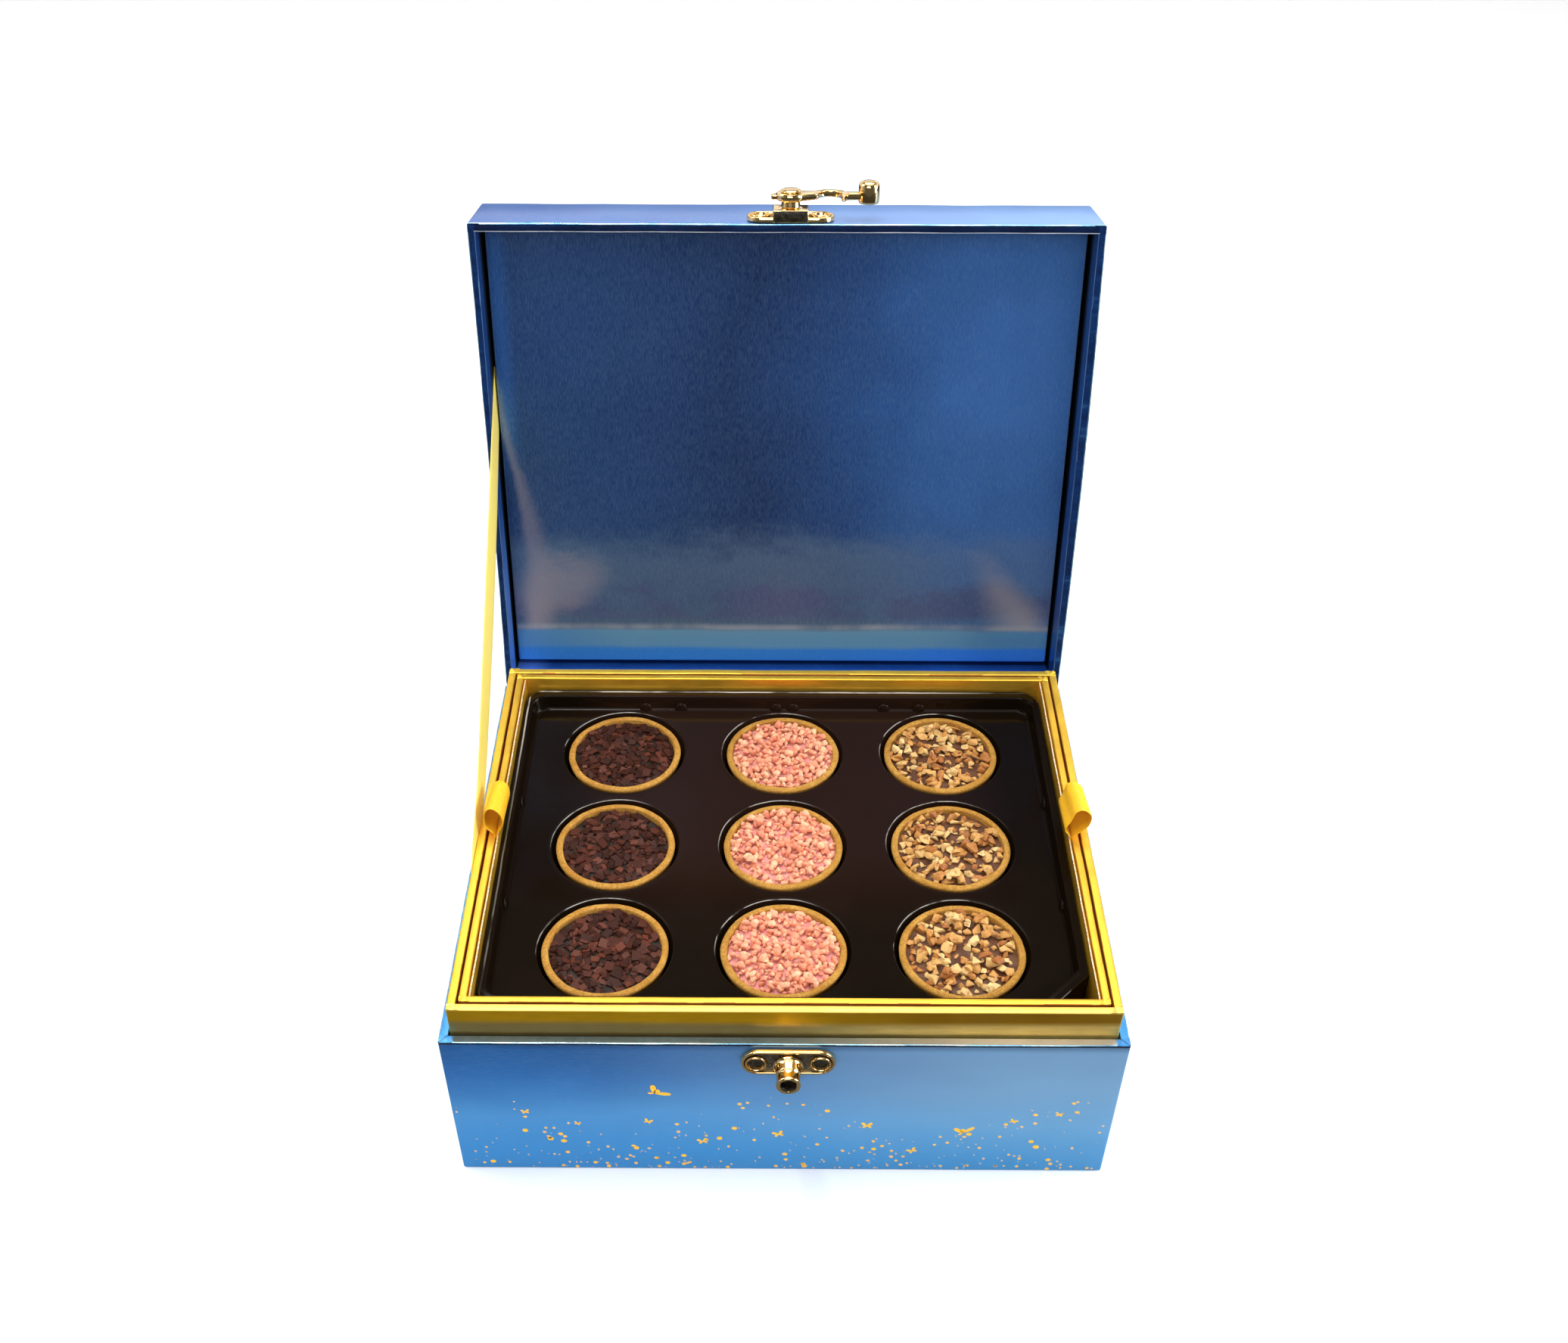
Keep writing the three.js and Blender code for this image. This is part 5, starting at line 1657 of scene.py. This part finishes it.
def plane(name, material, size, height):
    mesh = bpy.data.meshes.new(name)
    corners = [(-size, -size, height), (size, -size, height), (size, size, height), (-size, size, height)]
    mesh.from_pydata(corners, [], [(0, 1, 2, 3)])
    mesh.materials.append(material)
    obj = bpy.data.objects.new(name, mesh)
    bpy.context.scene.collection.objects.link(obj)
    return obj


def floor():
    """A pale floor, which shows dimmer in the mirror-like foil than it is lit."""
    pale_floor = Nodes("pale_floor")
    pale_floor.set(Base_Color=(0.90, 0.90, 0.90), Roughness=0.6)
    obj = plane("floor", pale_floor.material, 6.0, 0.0)
    obj.visible_glossy = False
    dim = Nodes("dim_floor")
    reach = dim.math("SQRT", dim.x * dim.x + dim.y * dim.y)
    shade = dim.ramp(dim.between(reach, 350, 900), (0.0, (0.30, 0.30, 0.29)), (1.0, (0.035, 0.035, 0.035)))
    dim.set(Base_Color=shade, Roughness=0.8)
    obj = plane("floor_in_reflections", dim.material, 6.0, -0.0002)
    obj.visible_camera = False
    obj.visible_diffuse = False
    obj.visible_shadow = False


def area_light(name, place, target, size, power):
    data = bpy.data.lights.new(name, "AREA")
    data.shape = "RECTANGLE"
    data.size, data.size_y = size
    data.energy = power
    obj = bpy.data.objects.new(name, data)
    bpy.context.scene.collection.objects.link(obj)
    obj.location = place
    direction = Vector(target) - Vector(place)
    obj.rotation_euler = direction.to_track_quat("-Z", "Y").to_euler()


def world():
    """Soft light: bright above and behind, dim in front, white where the camera sees it."""
    made = bpy.data.worlds.new("studio")
    made.use_nodes = True
    bpy.context.scene.world = made
    nodes, links = made.node_tree.nodes, made.node_tree.links
    split = nodes.new("ShaderNodeSeparateXYZ")
    links.new(nodes.new("ShaderNodeTexCoord").outputs["Generated"], split.inputs[0])

    def spread(source, *numbers):
        node = nodes.new("ShaderNodeMapRange")
        node.interpolation_type = "SMOOTHSTEP"
        for socket, value in zip(node.inputs[1:], numbers):
            socket.default_value = value
        links.new(source, node.inputs[0])
        return node.outputs[0]

    def combine(operation, first, second):
        node = nodes.new("ShaderNodeMath")
        node.operation = operation
        links.new(first, node.inputs[0])
        links.new(second, node.inputs[1])
        return node.outputs[0]

    back = spread(split.outputs[1], -0.9, 0.5, 0.08, 1.0)
    low = spread(split.outputs[2], 0.30, 0.62, 1.0, 0.30)
    overhead = spread(split.outputs[2], 0.74, 0.86, 0.10, 1.3)
    total = combine("MAXIMUM", combine("MULTIPLY", back, low), overhead)
    seen = nodes.new("ShaderNodeMix")
    seen.data_type = "FLOAT"
    links.new(nodes.new("ShaderNodeLightPath").outputs["Is Camera Ray"], seen.inputs[0])
    links.new(total, seen.inputs[2])
    seen.inputs[3].default_value = 1.0
    background = nodes["Background"]
    background.inputs["Color"].default_value = (1, 1, 1, 1)
    links.new(seen.outputs[0], background.inputs["Strength"])


def camera():
    """The photograph's camera, as fitted to the box's corners; lengths of the picture are in its pixels."""
    photo_width, photo_height = 2072, 1775
    focal_length, centre_x, centre_y = 2152.06, 1005.5, 1021.52
    pitch, yaw, roll = math.radians(42.51), math.radians(-0.27), math.radians(0.09)
    ahead = Vector((math.sin(yaw) * math.cos(pitch), math.cos(yaw) * math.cos(pitch), -math.sin(pitch)))
    right = ahead.cross(Vector((0, 0, 1))).normalized()
    up = right.cross(ahead)
    level_right = right * math.cos(roll) + up * math.sin(roll)
    level_up = up * math.cos(roll) - right * math.sin(roll)
    matrix = Matrix((level_right, level_up, -ahead)).transposed().to_4x4()
    matrix.translation = Vector((-6.52, -448.66, 524.75)) * MM
    data = bpy.data.cameras.new("camera")
    data.sensor_width = 36
    data.lens = focal_length / photo_width * data.sensor_width
    data.shift_x = (photo_width / 2 - centre_x) / photo_width
    data.shift_y = (centre_y - photo_height / 2) / photo_width
    data.clip_start, data.clip_end = 0.01, 50
    obj = bpy.data.objects.new("camera", data)
    obj.matrix_world = matrix
    bpy.context.scene.collection.objects.link(obj)
    bpy.context.scene.camera = obj


floor()
world()
camera()
above_base = (0, 0, 0.08)
area_light("softbox_back", (0.1, 0.62, 1.45), above_base, (1.3, 0.42), 9)
area_light("strip_above", (-0.25, -0.05, 1.6), above_base, (0.9, 0.03), 8)
area_light("softbox_right", (1.45, -0.25, 0.85), above_base, (0.4, 0.4), 9)
area_light("fill_right", (1.1, -0.02, 0.36), (-0.11, 0.02, 0.17), (0.5, 0.35), 8)
area_light("softbox_left", (-1.3, 0.2, 1.1), above_base, (0.7, 0.7), 6)
area_light("fill_front", (-0.2, -1.5, 1.1), (0, 0, 0.1), (1.2, 0.5), 12)

view = bpy.context.scene.view_settings
view.view_transform = "Standard"
view.look = "None"
view.exposure = 0.0
view.gamma = 1.0
